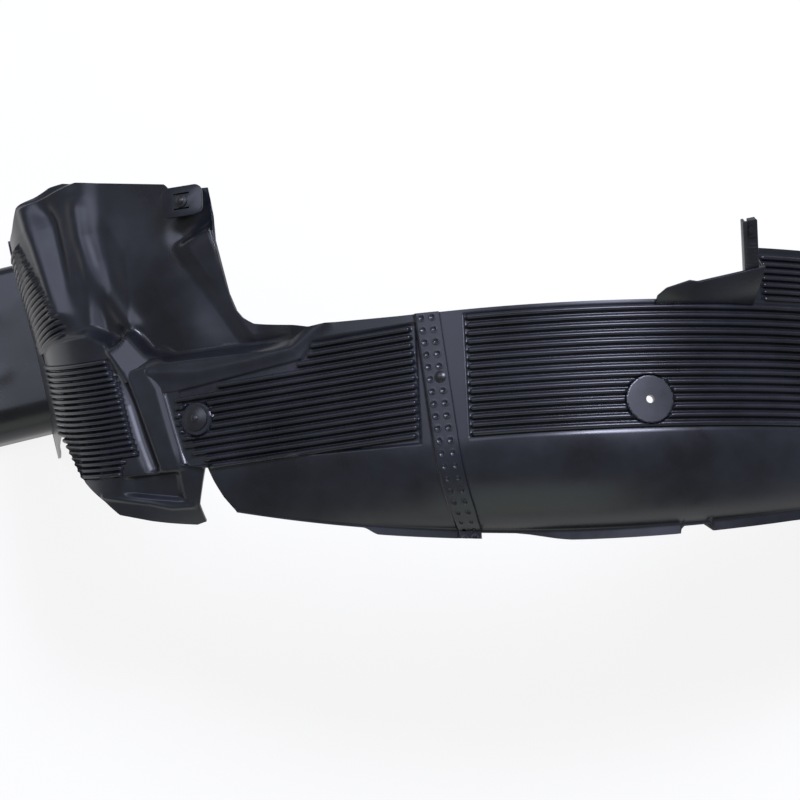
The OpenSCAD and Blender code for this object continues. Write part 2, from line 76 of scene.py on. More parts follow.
class LinerSizes(bpy.types.PropertyGroup):
    """Sizes of the two mouldings, in millimetres or degrees: the frame's own, but with finer relief."""

    arch_r: number("Arch radius", "Moulded skin over the tyre", 400.0)
    wall_t: number("Wall", "Wall thickness", 2.5)
    front_slope: number("Front slope", "Degrees", 22.0)
    rear_turn: number("Rear turn", "Crown to rear leg, degrees", 78.0)
    shoulder_r: number("Shoulder radius", "Outboard shoulder", 80.0)
    lip_w: number("Lip", "Width of the outward lip", 8.0)
    band_w: number("Band", "Width of the flat band", 106.0)
    wide_band_w: number("Wide band", "Band behind the bracket", 150.0)
    widen_turn: number("Widening", "Degrees from the crown", 21.0)
    rib_h: number("Rib height", "Over the bottom of its pan", 4.4)
    rib_w: number("Rib width", "At half its height", 3.9)
    rib_pitch: number("Rib spacing", "On both panels", 6.8)
    corner_pitch: number("Corner rib spacing", "Round the bend", 5.01)
    seam_turn: number("Seam", "Degrees from the crown", 15.6)
    lap_w: number("Lap", "Width along the arch", 20.0)
    corner_r: number("Corner radius", "Front bend", 105.0)
    corner_turn: number("Corner turn", "Degrees", 58.0)
    corner_yaw: number("Corner yaw", "Degrees in plan", 13.0)


class LinerFinish(bpy.types.PropertyGroup):
    """Colours of the finishes, as sRGB hex values, and the size of the moulded grain."""

    liner_hex: hex_colour("Liner", "Moulded polypropylene", "#111217")
    dust_hex: hex_colour("Dust", "Bloom on the upper faces", "#282b33")
    # Painted highlight: a light colour for the rib crests, in streaks, in place of glints
    scuff_hex: hex_colour("Highlight", "Painted highlight on the rib tops", "#8b8f9b")
    rivet_hex: hex_colour("Rivets", "Nylon", "#17181b")
    clip_hex: hex_colour("Clip", "Blackened steel", "#2c2d31")
    grain_mm: number("Grain", "Spacing of the moulded grain", 0.9)


class LinerStage(bpy.types.PropertyGroup):
    """Floor colour and the strength of the soft lights, in watts."""

    floor_hex: hex_colour("Floor", "Pale floor", "#f2f2f3")
    key_power: number("Key", "Light from inboard", 60.0)
    fill_power: number("Fill", "Light from outboard", 5.0)
    window_power: number("Window", "Light from the front, inboard", 9.0)
    sky: number("Sky", "Strength of the even light", 0.26)


# Small tools


def cos_sin(degrees):
    """Cosine and sine of an angle."""
    return math.cos(math.radians(degrees)), math.sin(math.radians(degrees))


def smooth(x):
    """A soft step from 0 to 1 over x from 0 to 1."""
    c = np.clip(x, 0.0, 1.0)
    return c * c * (3.0 - 2.0 * c)


def run(stops, spacing):
    """Places along a line, with a spacing of their own between each pair of stops."""
    parts = [
        np.linspace(low, high, max(2, int(round((high - low) / step)) + 1))[:-1]
        for low, high, step in zip(stops[:-1], stops[1:], spacing)
    ]
    return np.concatenate(parts + [[stops[-1]]])


def segment_distance(x, y, start, end):
    """Distance from points to a straight segment."""
    dx, dy = end[0] - start[0], end[1] - start[1]
    share = np.clip(((x - start[0]) * dx + (y - start[1]) * dy) / (dx * dx + dy * dy), 0.0, 1.0)
    return np.hypot(x - start[0] - share * dx, y - start[1] - share * dy)


def line_distance(x, y, points):
    """Distance from points to a line through several places."""
    pairs = zip(points[:-1], points[1:])
    return np.minimum.reduce([segment_distance(x, y, start, end) for start, end in pairs])


def swell(x, y, points, width, high):
    """A soft ridge, or with a negative height a soft valley, along a line."""
    return high * np.exp(-((line_distance(x, y, points) / width) ** 2))


def side_of(x, y, start, end):
    """Distance from the endless line through two places, positive on its left."""
    dx, dy = end[0] - start[0], end[1] - start[1]
    return (dx * (y - start[1]) - dy * (x - start[0])) / math.hypot(dx, dy)


BULGE_H = 9.0
RIB_FOOT = 0.7


def bulge(u, v):
    """Swelling of the front bend's inboard half, that moves its outline forward."""
    return BULGE_H * smooth((-u - 25.0) / 35.0) * np.clip((v - 130.0) / 115.0, 0.0, 1.0)


def rib_profile(distance, width):
    """Height share of a round-topped rib at a distance from its centre line, with a foot each side."""
    share = np.clip(distance / (width / 2 + RIB_FOOT), 0.0, 1.0)
    return np.sqrt(1.0 - share ** 2) * smooth((1.0 - share) * 4.0)


def grid(rows, columns):
    """Each row's place along and each column's place across, over the whole grid."""
    return np.meshgrid(rows, columns, indexing="ij")


RIB_STEPS = (-0.5, -0.41, -0.36, -0.3, -0.22, -0.11, 0.0, 0.11, 0.22, 0.3, 0.36, 0.41)


def rib_lines(first, pitch, count):
    """Grid lines across a panel of ribs, closer on each rib's flanks."""
    steps = np.array(RIB_STEPS) * pitch
    lines = (first + np.arange(count) * pitch)[:, None] + steps
    return np.concatenate([lines.ravel(), [first + (count - 0.5) * pitch]])


# The shape of the arch, shared by both mouldings


def arch_path(a, sizes):
    """Point, outward normal and rearward direction of the arch's outline, a mm from the crown."""
    r = sizes.arch_r
    low, high = -r * math.radians(sizes.front_slope), r * math.radians(sizes.rear_turn)
    on_arc = np.clip(a, low, high)
    turn = on_arc / r
    zero = np.zeros_like(turn)
    normal = np.stack([np.sin(turn), zero, np.cos(turn)], -1)
    along = np.stack([np.cos(turn), zero, -np.sin(turn)], -1)
    return normal * r + along * (a - on_arc)[..., None], normal, along


LIP_BEND = 2.6


def shoulder_section(b, h, turn, sizes):
    """Drop and side place of a point b mm across the band and h mm off its face, round shoulder and lip."""
    r = sizes.shoulder_r
    arc = r * turn
    down = np.clip(-b, 0.0, arc) / r
    n_out, n_side = np.cos(down), -np.sin(down)
    t_out, t_side = -np.sin(down), -np.cos(down)
    out = r * (np.cos(down) - 1.0)
    side = -r * np.sin(down) + np.maximum(b, 0.0)
    past = np.clip((-b - arc) / LIP_BEND, 0.0, turn)
    sine, cosine = np.sin(past), np.cos(past)
    out = out + LIP_BEND * (n_out * (1 - cosine) + t_out * sine)
    side = side + LIP_BEND * (n_side * (1 - cosine) + t_side * sine)
    flat = np.maximum(-b - arc - LIP_BEND * turn, 0.0)
    out = out + flat * (t_out * cosine + n_out * sine)
    side = side + flat * (t_side * cosine + n_side * sine)
    out = out + h * (n_out * cosine - t_out * sine)
    side = side + h * (n_side * cosine - t_side * sine)
    return out, side


EDGE_X = 8.0
EDGE_Y = -72.9
EDGE_R = 1400.0
EDGE_END_X = 185.0


def edge_turn(a, sizes):
    """Angle that the shoulder turns through where the outboard edge follows its arc in plan."""
    turn = np.full_like(a, 1.1)
    for _ in range(4):
        reach = sizes.shoulder_r * (1 - np.cos(turn))
        point, normal, _along = arch_path(a, sizes)
        x = point[..., 0] - reach * normal[..., 0]
        run_x = np.minimum(x, EDGE_END_X)
        y = EDGE_Y + EDGE_R - np.sqrt(EDGE_R ** 2 - (run_x - EDGE_X) ** 2)
        y = y - 5.0 * smooth((x - EDGE_END_X) / 60.0)
        turn = np.arcsin(np.clip(-y / sizes.shoulder_r, 0.06, 0.96))
    return turn


def place_on_arch(a, b, h, turn, sizes):
    """A point of the arch's skin, from its run, its place across and its height over the skin."""
    point, normal, _along = arch_path(a, sizes)
    out, side = shoulder_section(b, h, turn, sizes)
    place = point + normal * out[..., None]
    place[..., 1] = side
    return place


# The front corner: a bend that is turned in plan


CORNER_S = 290.0
CORNER_Y = 150.0
CORNER_DROP = 1.0
CORNER_SHOULDER = math.radians(68.0)


def corner_place(s, y, sizes):
    """Run u and place v across the corner's own frame, from the unrolled front's s and y."""
    c, w = cos_sin(sizes.corner_yaw)
    ahead, side = CORNER_S - s, y - CORNER_Y
    return ahead * c + side * w, CORNER_Y - ahead * w + side * c


def panel_to_part(point, sizes):
    """From the flat front run's frame to the arch's."""
    c, w = cos_sin(sizes.front_slope)
    x, y, z = point[..., 0], point[..., 1], point[..., 2]
    r = sizes.arch_r
    return np.stack([x * c - z * w - r * w, y, x * w + z * c + r * c], -1)


def corner_in_panel(u, v, h, sizes):
    """A point of the corner's skin in the flat front run's frame."""
    drop, side = shoulder_section(v, h, np.full_like(u, CORNER_SHOULDER), sizes)
    r, bend = sizes.corner_r, math.radians(sizes.corner_turn)
    angle = np.clip(-u / r, 0.0, bend)
    beyond = np.maximum(-u - r * bend, 0.0)
    x = np.where(u >= 0, u, -(r + drop) * np.sin(angle) - beyond * math.cos(bend))
    z = np.where(u >= 0, drop, (r + drop) * np.cos(angle) - r - beyond * math.sin(bend))
    c, w = cos_sin(sizes.corner_yaw)
    across = side - CORNER_Y
    return np.stack([x * c - across * w - CORNER_S, x * w + across * c + CORNER_Y, z - CORNER_DROP], -1)


def corner_skin(sizes):
    """Place of a point of the corner's skin, from the unrolled front's s and y."""

    def place(s, y, h):
        u, v = corner_place(s, y, sizes)
        return panel_to_part(corner_in_panel(u, v, h, sizes), sizes)

    return place


# Closed sheets


# Ground below the wheel's axis, the wall's inboard edge, and the skin's height over its radius
GROUND_DROP = 20.0
INBOARD = 270.0
SKIN_OVER = 0.25
SHEET_SHARP = 55.0
SOLID_SHARP = 35.0


def frame_offset(sizes):
    """From the arch's frame to the part's, in mm: the frame's box is bottom-centred on its origin."""
    low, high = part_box("front_section")
    cosine, sine = cos_sin(sizes.rear_turn)
    rear_tip = (sizes.arch_r + SKIN_OVER + GROUND_DROP * cosine) / sine
    rear_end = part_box("rear_section")[1].x / MM - rear_tip
    return np.array([rear_end, high.y / MM - INBOARD, low.z / MM + GROUND_DROP])


def grid_faces(index):
    """Quads over a grid of vertices."""
    quads = np.stack([index[:-1, :-1], index[1:, :-1], index[1:, 1:], index[:-1, 1:]], -1)
    return quads.reshape(-1, 4).tolist()


def rim_faces(top, low, keep):
    """Faces that join one side of the fine upper grid to the same side of the coarse lower one."""
    top, low = top.tolist(), low.tolist()
    spans = enumerate(zip(keep[:-1], keep[1:]))
    return [top[i : j + 1] + [low[k + 1], low[k]] for k, (i, j) in spans]


def thinned(count, step):
    """Every step-th index of a line, with its last."""
    keep = list(range(0, count - 1, step))
    return keep + [count - 1]


def sheet(name, a, b, place, relief, sizes, material, thin=(4, 4)):
    """A closed moulded sheet: a fine upper face with its relief, and a coarser lower face a wall below."""
    rows, columns = a.shape
    height = relief(a, b)
    top = place(a, b, height)
    keep_a, keep_b = thinned(rows, thin[0]), thinned(columns, thin[1])
    pick = np.ix_(keep_a, keep_b)
    base = np.minimum(height[pick], relief(a[pick], b[pick], True))
    low = place(a[pick], b[pick], base - sizes.wall_t)
    points = np.concatenate([top.reshape(-1, 3), low.reshape(-1, 3)]) + frame_offset(sizes)
    points[:, 2] = np.maximum(points[:, 2], 0.0)
    upper = np.arange(rows * columns).reshape(rows, columns)
    lower = np.arange(len(keep_a) * len(keep_b)).reshape(len(keep_a), len(keep_b)) + rows * columns
    faces = grid_faces(upper) + [face[::-1] for face in grid_faces(lower)]
    faces += [face[::-1] for face in rim_faces(upper[:, 0], lower[:, 0], keep_a)]
    faces += rim_faces(upper[:, -1], lower[:, -1], keep_a)
    faces += rim_faces(upper[0], lower[0], keep_b)
    faces += [face[::-1] for face in rim_faces(upper[-1], lower[-1], keep_b)]
    return mesh_piece(name, points * MM, faces, material)


def shade(mesh, material, sharp):
    """Smooth shading but for sharp edges, and the material."""
    mesh.polygons.foreach_set("use_smooth", [True] * len(mesh.polygons))
    mesh.set_sharp_from_angle(angle=math.radians(sharp))
    mesh.materials.clear()
    mesh.materials.append(material)


def linked(name, data):
    """A new object in the scene."""
    piece = bpy.data.objects.new(name, data)
    bpy.context.scene.collection.objects.link(piece)
    return piece


def mesh_piece(name, points, faces, material):
    """A mesh object at the origin, smooth but for its sharp edges."""
    mesh = bpy.data.meshes.new(name)
    mesh.from_pydata(points.tolist(), [], faces)
    shade(mesh, material, SHEET_SHARP)
    mesh.validate()
    mesh.update()
    return linked(name, mesh)


def solid_from(build, name, material, sizes):
    """A piece whose mesh a bmesh function fills, in mm of the arch's frame."""
    mesh = bpy.data.meshes.new(name)
    bm = bmesh.new()
    build(bm)
    bmesh.ops.recalc_face_normals(bm, faces=bm.faces)
    offset = mathutils.Vector(frame_offset(sizes))
    for vert in bm.verts:
        vert.co = (vert.co + offset) * MM
    bm.to_mesh(mesh)
    bm.free()
    shade(mesh, material, SOLID_SHARP)
    return linked(name, mesh)


def finish_piece(piece, slot, *nodes):
    """Rides a piece on the one body and hides the nodes that it stands for. The slot is not used."""
    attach(piece, "root")
    if nodes:
        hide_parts(*nodes)


CUT_DEPTH = 16.0


def cut_hole(piece, centre, axis, radius, sizes):
    """Cuts a round hole through a piece."""
    bm = bmesh.new()
    turn = mathutils.Vector((0, 0, 1)).rotation_difference(mathutils.Vector(axis)).to_matrix().to_4x4()
    spot = (mathutils.Vector(centre) + mathutils.Vector(frame_offset(sizes))) * MM
    place = mathutils.Matrix.Translation(spot) @ turn
    size = radius * MM
    bmesh.ops.create_cone(
        bm, cap_ends=True, segments=48, radius1=size, radius2=size, depth=CUT_DEPTH * MM, matrix=place
    )
    cut_with(piece, bm)


# Rear moulding


# Round pad: run and place across, radius, hole, height, and the depth of the pan round the ribs
REAR_PAD = (400.0 * math.radians(6.9), 24.0)
REAR_PAD_R = 20.0
REAR_HOLE_R = 3.3
PAD_TOP = 1.2
PAN_DEPTH = 1.8
PAN_FLANK = 2.2


def rib_rows(a, b, first, pitch, count, low, high, width):
    """Height share of straight ribs with rounded ends, from a = low to a = high."""
    index = np.clip(np.round((b - first) / pitch), 0, count - 1)
    across = b - first - index * pitch
    half = width / 2
    end = np.maximum(np.maximum(low + half - a, a - high + half), 0.0)
    return rib_profile(np.hypot(across, end), width)


REAR_RIBS_TURN = (-13.8, 58.0)
REAR_RIB_FIRST = 4.0
REAR_RIBS = 15
REAR_START = -18.4
REAR_LEG_RUN = 105.4
WIDE_RIBS = 7
WIDE_PITCH = 5.8
WIDE_RIB_LESS = 0.6


def rear_relief(sizes):
    """Relief of the rear moulding's skin."""
    low, high = (sizes.arch_r * math.radians(turn) for turn in REAR_RIBS_TURN)

    def relief(a, b, plain=False):
        ribs = rib_rows(a, b, REAR_RIB_FIRST, sizes.rib_pitch, REAR_RIBS, low, high, sizes.rib_w)
        pad = np.hypot(a - REAR_PAD[0], b - REAR_PAD[1])
        clear = smooth((pad - REAR_PAD_R + 0.4) / 1.4)
        edge = np.minimum(np.minimum(a - low + 3.0, high + 3.0 - a), np.minimum(b - 0.4, 103.0 - b))
        pan = -PAN_DEPTH * smooth(edge / PAN_FLANK)
        if plain:
            return pan
        lift = pan + sizes.rib_h * ribs * clear
        on_pad = smooth((REAR_PAD_R - pad) / 0.8)
        return lift * (1 - on_pad) + PAD_TOP * on_pad

    return relief


def build_rear(sizes, material):
    """The rear moulding: crown, ribbed panel, shoulder, lip and leg."""
    r = sizes.arch_r
    start = r * math.radians(REAR_START)
    leg = r * math.radians(sizes.rear_turn)
    a_line = run(
        [start, -102.0, -90.0, 22.0, 74.0, 84.0, 118.0, 396.0, 412.0, leg + REAR_LEG_RUN],
        [3.0, 0.7, 3.2, 0.9, 1.2, 2.4, 5.0, 1.0, 6.0],
    )
    turn = edge_turn(a_line, sizes)
    low = -sizes.shoulder_r * turn - LIP_BEND * turn - lip_width(a_line, sizes)
    over = np.concatenate([np.linspace(0.0, 0.14, 16)[:-1], np.linspace(0.14, 1.0, 26)[:-1]])
    ribs = rib_lines(REAR_RIB_FIRST, sizes.rib_pitch, REAR_RIBS)
    band = np.concatenate([ribs, np.linspace(ribs[-1], sizes.band_w, 5)[1:]])
    shoulder = low[:, None] * (1 - over) + band[0] * over
    b = np.concatenate([shoulder, np.repeat(band[None, :], len(a_line), 0)], 1)
    a = np.repeat(a_line[:, None], b.shape[1], 1)
    place = rear_place(a_line, turn, sizes)
    piece = sheet("rear_liner", a, b, place, rear_relief(sizes), sizes, material)
    point, normal, _along = arch_path(np.array([REAR_PAD[0]]), sizes)
    centre = point[0] + np.array([0.0, REAR_PAD[1], 0.0])
    cut_hole(piece, centre, normal[0], REAR_HOLE_R, sizes)
    return piece


def rear_place(a_line, turn, sizes):
    """Place of a point of the rear moulding, with the leg cut off at the ground."""
    leg = sizes.arch_r * math.radians(sizes.rear_turn)
    cosine, sine = cos_sin(sizes.rear_turn)
    reach = float(a_line[-1]) - leg

    def place(a, b, h):
        t = np.interp(a, a_line, turn)
        out, _side = shoulder_section(b, h, t, sizes)
        limit = ((sizes.arch_r + out) * cosine + GROUND_DROP) / sine
        ground_run = leg + (a - leg) * np.minimum(limit / reach, 1.1)
        return place_on_arch(np.where(a > leg, ground_run, a), b, h, t, sizes)

    return place


def build_rear_side(sizes, material):
    """The widened band behind the bracket, with its own ribs."""
    r = sizes.arch_r
    start = r * math.radians(sizes.widen_turn + 0.5) - 6.0
    low, high = start + 10.0, r * math.radians(REAR_RIBS_TURN[1])
    first = REAR_RIB_FIRST + REAR_RIBS * sizes.rib_pitch + 1
    leg = r * math.radians(sizes.rear_turn)
    a_line = run([start, start + 16.0, 396.0, 412.0, leg + REAR_LEG_RUN], [0.7, 4.5, 1.0, 6.0])
    ribs = rib_lines(first, WIDE_PITCH, WIDE_RIBS)
    b_line = np.concatenate([[101.0, 103.0, 105.0], ribs, np.linspace(ribs[-1], sizes.wide_band_w, 4)[1:]])
    a, b = grid(a_line, b_line)

    def relief(aa, bb, plain=False):
        share = rib_rows(aa, bb, first, WIDE_PITCH, WIDE_RIBS, low, high, sizes.rib_w - WIDE_RIB_LESS)
        edge = np.minimum(np.minimum(aa - low + 2.5, high + 2.5 - aa), np.minimum(bb - 104.6, 148.5 - bb))
        pan = -PAN_DEPTH * smooth(edge / PAN_FLANK) - 0.5 * smooth((106.5 - bb) / 1.5)
        return pan if plain else pan + (sizes.rib_h - 0.4) * share

    place = rear_place(a_line, edge_turn(a_line, sizes), sizes)
    return sheet("rear_liner_side", a, b, place, relief, sizes, material)


# Gusset, foot and arm, each in its own plane
GUSSET_TURN = 13.4
GUSSET_LEAN = 50.0
GUSSET_ROOT = 4.0
GUSSET = ((-36, 0), (-36, 9), (-30, 17), (-12, 25), (-5, 24), (49, 40), (49, 0))
FOOT_END = 49
FOOT_W = 37
FOOT_H = 16
ARM_LEAN = 38.0
ARM_SKEW = 14.0
ARM_AT = (41.0, 27.0)
ARM_L = 54.0
ARM_W = 12.0


def build_bracket(sizes, material):
    """The raised bracket: a leaning gusset, the foot at its end and its arm, with rounded edges."""
    t = sizes.wall_t
    arm_half = ARM_W / 2
    on_gusset = (
        mathutils.Matrix.Rotation(math.radians(GUSSET_TURN), 4, "Y")
        @ mathutils.Matrix.Translation((0, sizes.band_w - GUSSET_ROOT, sizes.arch_r - 3))
        @ mathutils.Matrix.Rotation(math.radians(GUSSET_LEAN), 4, "X")
    )
    on_arm = (
        on_gusset
        @ mathutils.Matrix.Translation((ARM_AT[0], ARM_AT[1], 0))
        @ mathutils.Matrix.Rotation(math.radians(ARM_SKEW), 4, "Z")
        @ mathutils.Matrix.Rotation(math.radians(ARM_LEAN - GUSSET_LEAN), 4, "X")
    )

    def build(bm):
        add_prism(bm, GUSSET, 0, t, on_gusset)
        add_prism(bm, rectangle(FOOT_END - t, 0, FOOT_END, FOOT_W), -FOOT_H, 1, on_gusset)
        add_prism(bm, rectangle(-arm_half, -2, arm_half, ARM_L - 2), 0, t, on_arm)
        add_prism(bm, rectangle(-arm_half, -2, -arm_half + t, ARM_L - 2), -5, 1, on_arm)

    return solid_from(build, "rear_liner_bracket", material, sizes)


def rectangle(x0, y0, x1, y1):
    """Outline of a rectangle, from two of its corners."""
    return [(x0, y0), (x1, y0), (x1, y1), (x0, y1)]


EDGE_BEVEL = 0.7


def add_prism(bm, outline, low, high, matrix):
    """Adds a prism with rounded edges to a mesh, from its outline and its two heights."""
    lower = [bm.verts.new(matrix @ mathutils.Vector((x, y, low))) for x, y in outline]
    upper = [bm.verts.new(matrix @ mathutils.Vector((x, y, high))) for x, y in outline]
    sides = zip(lower, lower[1:] + lower[:1], upper[1:] + upper[:1], upper)
    faces = [bm.faces.new(side) for side in sides]
    faces += [bm.faces.new(upper), bm.faces.new(list(reversed(lower)))]
    edges = {edge for face in faces for edge in face.edges}
    bmesh.ops.recalc_face_normals(bm, faces=faces)
    bmesh.ops.bevel(bm, geom=list(edges), offset=EDGE_BEVEL, segments=2, profile=0.5, affect="EDGES")


LIP_BREAK = (83.0, 113.0)


def lip_width(a, sizes):
    """Width of the outward lip along the arch, with the short break that the moulding has."""
    grown = smooth((a + 75.0) / 60.0)
    gap = 1.0 - smooth((a - LIP_BREAK[0]) / 1.2) * smooth((LIP_BREAK[1] - a) / 1.2)
    return 1.0 + sizes.lip_w * 0.75 * grown * gap


# Front moulding: lap and ribbed run


FRONT_RIB_FIRST = 5.5
FRONT_RIBS = 14
RIB_SKEW_TURN = math.radians(2.6)
RIB_SKEW = math.tan(RIB_SKEW_TURN)
FRONT_PAD = (190.0, 39.5)
FRONT_PAD_R = 15.0
SEAM_SLANT = 0.103
LAP_START = 0.895


def front_rib_ends(sizes):
    """Right and left end of each rib of the front run, as s."""
    y_left = [-1.5, 6, 14, 28, 40, 60, 69, 76, 84, 100, 104]
    s_left = [178, 186, 203, 206, 213, 211, 148, 90, 82, 76, 64]
    y_right = [-1.5, 1, 10, 60, 96, 101, 103]
    s_right = [0, -9, -12, -12, -9, -5, 8]
    first = FRONT_RIB_FIRST + np.arange(FRONT_RIBS) * sizes.rib_pitch
    right = np.interp(first, y_right, s_right)
    left = np.full(FRONT_RIBS, 150.0)
    for _ in range(6):
        left = 0.5 * left + 0.5 * np.interp(first - left * RIB_SKEW, y_left, s_left)
    return right, left


def seam_run(b, sizes):
    """Run from the crown of the front moulding's lapped edge, which slants across the band."""
    return -sizes.arch_r * math.radians(sizes.seam_turn) - SEAM_SLANT * (np.maximum(b, -60.0) - 12.0)


HOLLOW_D = 16.0


def hollow(s, y, edge):
    """Depth of the hollow between the ribbed panels and the tall wall."""
    depth = y - edge + 3.0
    ramp = 15.0 + 10.0 * smooth((s - 215.0) / 20.0) * smooth((285.0 - s) / 15.0)
    reach = smooth((s - 78.0) / 60.0)
    return -HOLLOW_D * reach * smooth(depth / ramp) * (1 - 0.75 * smooth((depth - 28.0) / 90.0))


def front_run_relief(sizes):
    """Relief of the front moulding's lap, ribbed run and inboard edge."""
    right, left = front_rib_ends(sizes)
    origin = -sizes.arch_r * math.radians(sizes.front_slope)
    lap_top = sizes.wall_t + 0.1

    def relief(a, b, plain=False):
        s = origin - a
        skewed = b + s * RIB_SKEW
        index = np.round((skewed - FRONT_RIB_FIRST) / sizes.rib_pitch)
        index = np.clip(index, 0, FRONT_RIBS - 1).astype(int)
        across = skewed - FRONT_RIB_FIRST - index * sizes.rib_pitch
        half = sizes.rib_w / 2
        end = np.maximum(np.maximum(right[index] + half - s, s - left[index] + half), 0.0)
        ribs = rib_profile(np.hypot(across, end), sizes.rib_w)
        pad = np.hypot(s - FRONT_PAD[0], b - FRONT_PAD[1])
        clear = smooth((pad - FRONT_PAD_R - 0.3) / 1.6)
        band_top = FRONT_RIB_FIRST + FRONT_RIBS * sizes.rib_pitch - s * RIB_SKEW - 1.5
        step = np.interp(s, [64.0, 76.0, 84.0, 90.0, 148.0, 211.0], [106.0, 102.0, 89.0, 81.5, 74.0, 66.0])
        along = np.minimum(s + 15.0, np.interp(b, *BAR_RIGHT) - 3.0 - s)
        edge = np.minimum(along, np.minimum(b + 1.5, np.minimum(band_top, step) - b))
        pan = -PAN_DEPTH * smooth(edge / PAN_FLANK)
        seam = seam_run(b, sizes)
        lap = lap_top * smooth((a - seam + sizes.lap_w + 2.5) / 3.0)
        fall = hollow(s, b, wall_edge_y(s))
        crest = swell(s, b, CREST, 6.0, 1.6)
        if plain:
            return pan + lap + fall
        dents = -DIMPLE_D * dimple_share(a, b, seam, sizes)
        dents = dents + DIMPLE_RIM * dimple_share(a, b, seam, sizes, True)
        on_pad = smooth((FRONT_PAD_R - pad) / 1.0)
        lift = (pan + sizes.rib_h * ribs * clear) * (1 - on_pad) + PAD_TOP * on_pad
        return lift + lap + fall + dents + crest

    return relief


CREST = [(236.0, 84.0), (190.0, 80.0), (140.0, 84.0), (98.0, 90.0), (80.0, 102.0), (66.0, 110.0)]
BAR_RIGHT = ([-3.0, 34.0, 70.0, 86.0, 130.0], [205.0, 216.0, 226.0, 236.0, 262.0])


def wall_edge_y(s):
    """Place across the front at which the panels end and the wall's hollow begins."""
    return np.interp(s, [60.0, 84.0, 100.0, 226.0, 261.0, 281.0, 300.0, 420.0],
                     [108.0, 100.0, 92.0, 92.0, 84.5, 116.0, 125.0, 127.0])


DIMPLE_PITCH = 10.2
DIMPLE_EDGE = 4.0
DIMPLE_ROWS = (5.9, 15.0)
DIMPLE_R = 2.1
DIMPLE_D = 0.9
DIMPLE_RIM = 0.3


def dimple_share(a, b, seam, sizes, rim=False):
    """Depth share of the two rows of weld dents over the lap, or of their thin raised rims."""
    first = sizes.band_w - DIMPLE_EDGE
    share = np.zeros_like(a)
    for row in DIMPLE_ROWS:
        index = np.clip(np.round((first - b) / DIMPLE_PITCH), 0, 19)
        away = np.hypot(a - seam + row, b - first + index * DIMPLE_PITCH)
        if rim:
            share = np.maximum(share, np.exp(-(((away - DIMPLE_R - 0.2) / 0.5) ** 2)))
        else:
            share = np.maximum(share, smooth((DIMPLE_R - away) / 0.9))
    return share


def build_front_run(sizes, material):
    """The front moulding from its lap to the slanted bar."""
    origin = -sizes.arch_r * math.radians(sizes.front_slope)
    p_line = np.concatenate([np.linspace(0.0, LAP_START, 205)[:-1], np.linspace(LAP_START, 1.0, 42)])
    over = np.linspace(0.0, 1.0, 112)[:-1]
    ribs = rib_lines(FRONT_RIB_FIRST, sizes.rib_pitch, FRONT_RIBS)
    top = np.linspace(0.0, 1.0, 12)[1:]
    a = origin - 236.0 + p_line[:, None] * np.full(len(over) + len(ribs) + len(top), 282.0)
    left_y = [-75.0, -47.0, -42.0, -29.0, -15.0, -3.0, 2.0]
    left_s = [146.0, 152.0, 160.0, 169.0, 176.0, 181.0, 216.0]
    high_s = [-50.0, 0.0, 66.0, 84.0, 98.0, 240.0]
    high_y = [106.0, 106.5, 108.5, 107.0, 99.0, 98.0]
    for _ in range(8):
        s = origin - a
        turn = edge_turn(a[:, 0], sizes)
        lip = 1.0 + 5.0 * smooth((a[:, 0] - origin + 52.0) / 14.0)
        low = -(sizes.shoulder_r + LIP_BEND) * turn - lip
        high = np.interp(s[:, -1], high_s, high_y)
        skew = s * RIB_SKEW
        rib_part = ribs - skew[:, len(over) : len(over) + len(ribs)]
        shoulder = low[:, None] * (1 - over) + rib_part[:, :1] * over
        high = np.maximum(high, rib_part[:, -1] + 2)[:, None]
        inboard = rib_part[:, -1:] * (1 - top) + high * top
        b = np.concatenate([shoulder, rib_part, inboard], 1)
        place_y = np.where(b < 0, sizes.shoulder_r * np.sin(np.maximum(b, -100.0) / sizes.shoulder_r), b)
        bar_side = np.interp(b, *BAR_RIGHT) + 11.0
        left = np.where(b < 2.0, np.interp(place_y, left_y, left_s), bar_side)
        a = origin - left + p_line[:, None] * (seam_run(b, sizes) - origin + left)
    turn_a = np.linspace(float(a.min()), float(a.max()), 200)
    turn_line = edge_turn(turn_a, sizes)

    def place(aa, bb, h):
        return place_on_arch(aa, bb, h, np.interp(aa, turn_a, turn_line), sizes)

    return sheet("front_liner_run", a, b, place, front_run_relief(sizes), sizes, material)


# Front moulding: ribbed corner


CORNER_RIB_TILT = math.radians(19.0)
CORNER_RIB_TOP = 97.0
CORNER_RIBS = 20
CORNER_RIB_H = 3.5
CORNER_RIB_W = 2.9
CORNER_TOP = 133.0
CORNER_PAN = 1.6
BAR_H = 2.4
CREASE_H = 1.3
GROOVE_D = 4.5
RECESS_D = 5.0
GROOVE = [(268.0, 88.0), (254.0, 60.0), (244.0, 28.0), (234.0, 2.0)]
CREASE = [(290.0, -19.0), (267.0, -24.0), (242.0, -29.0), (223.0, -35.0), (204.0, -36.0)]


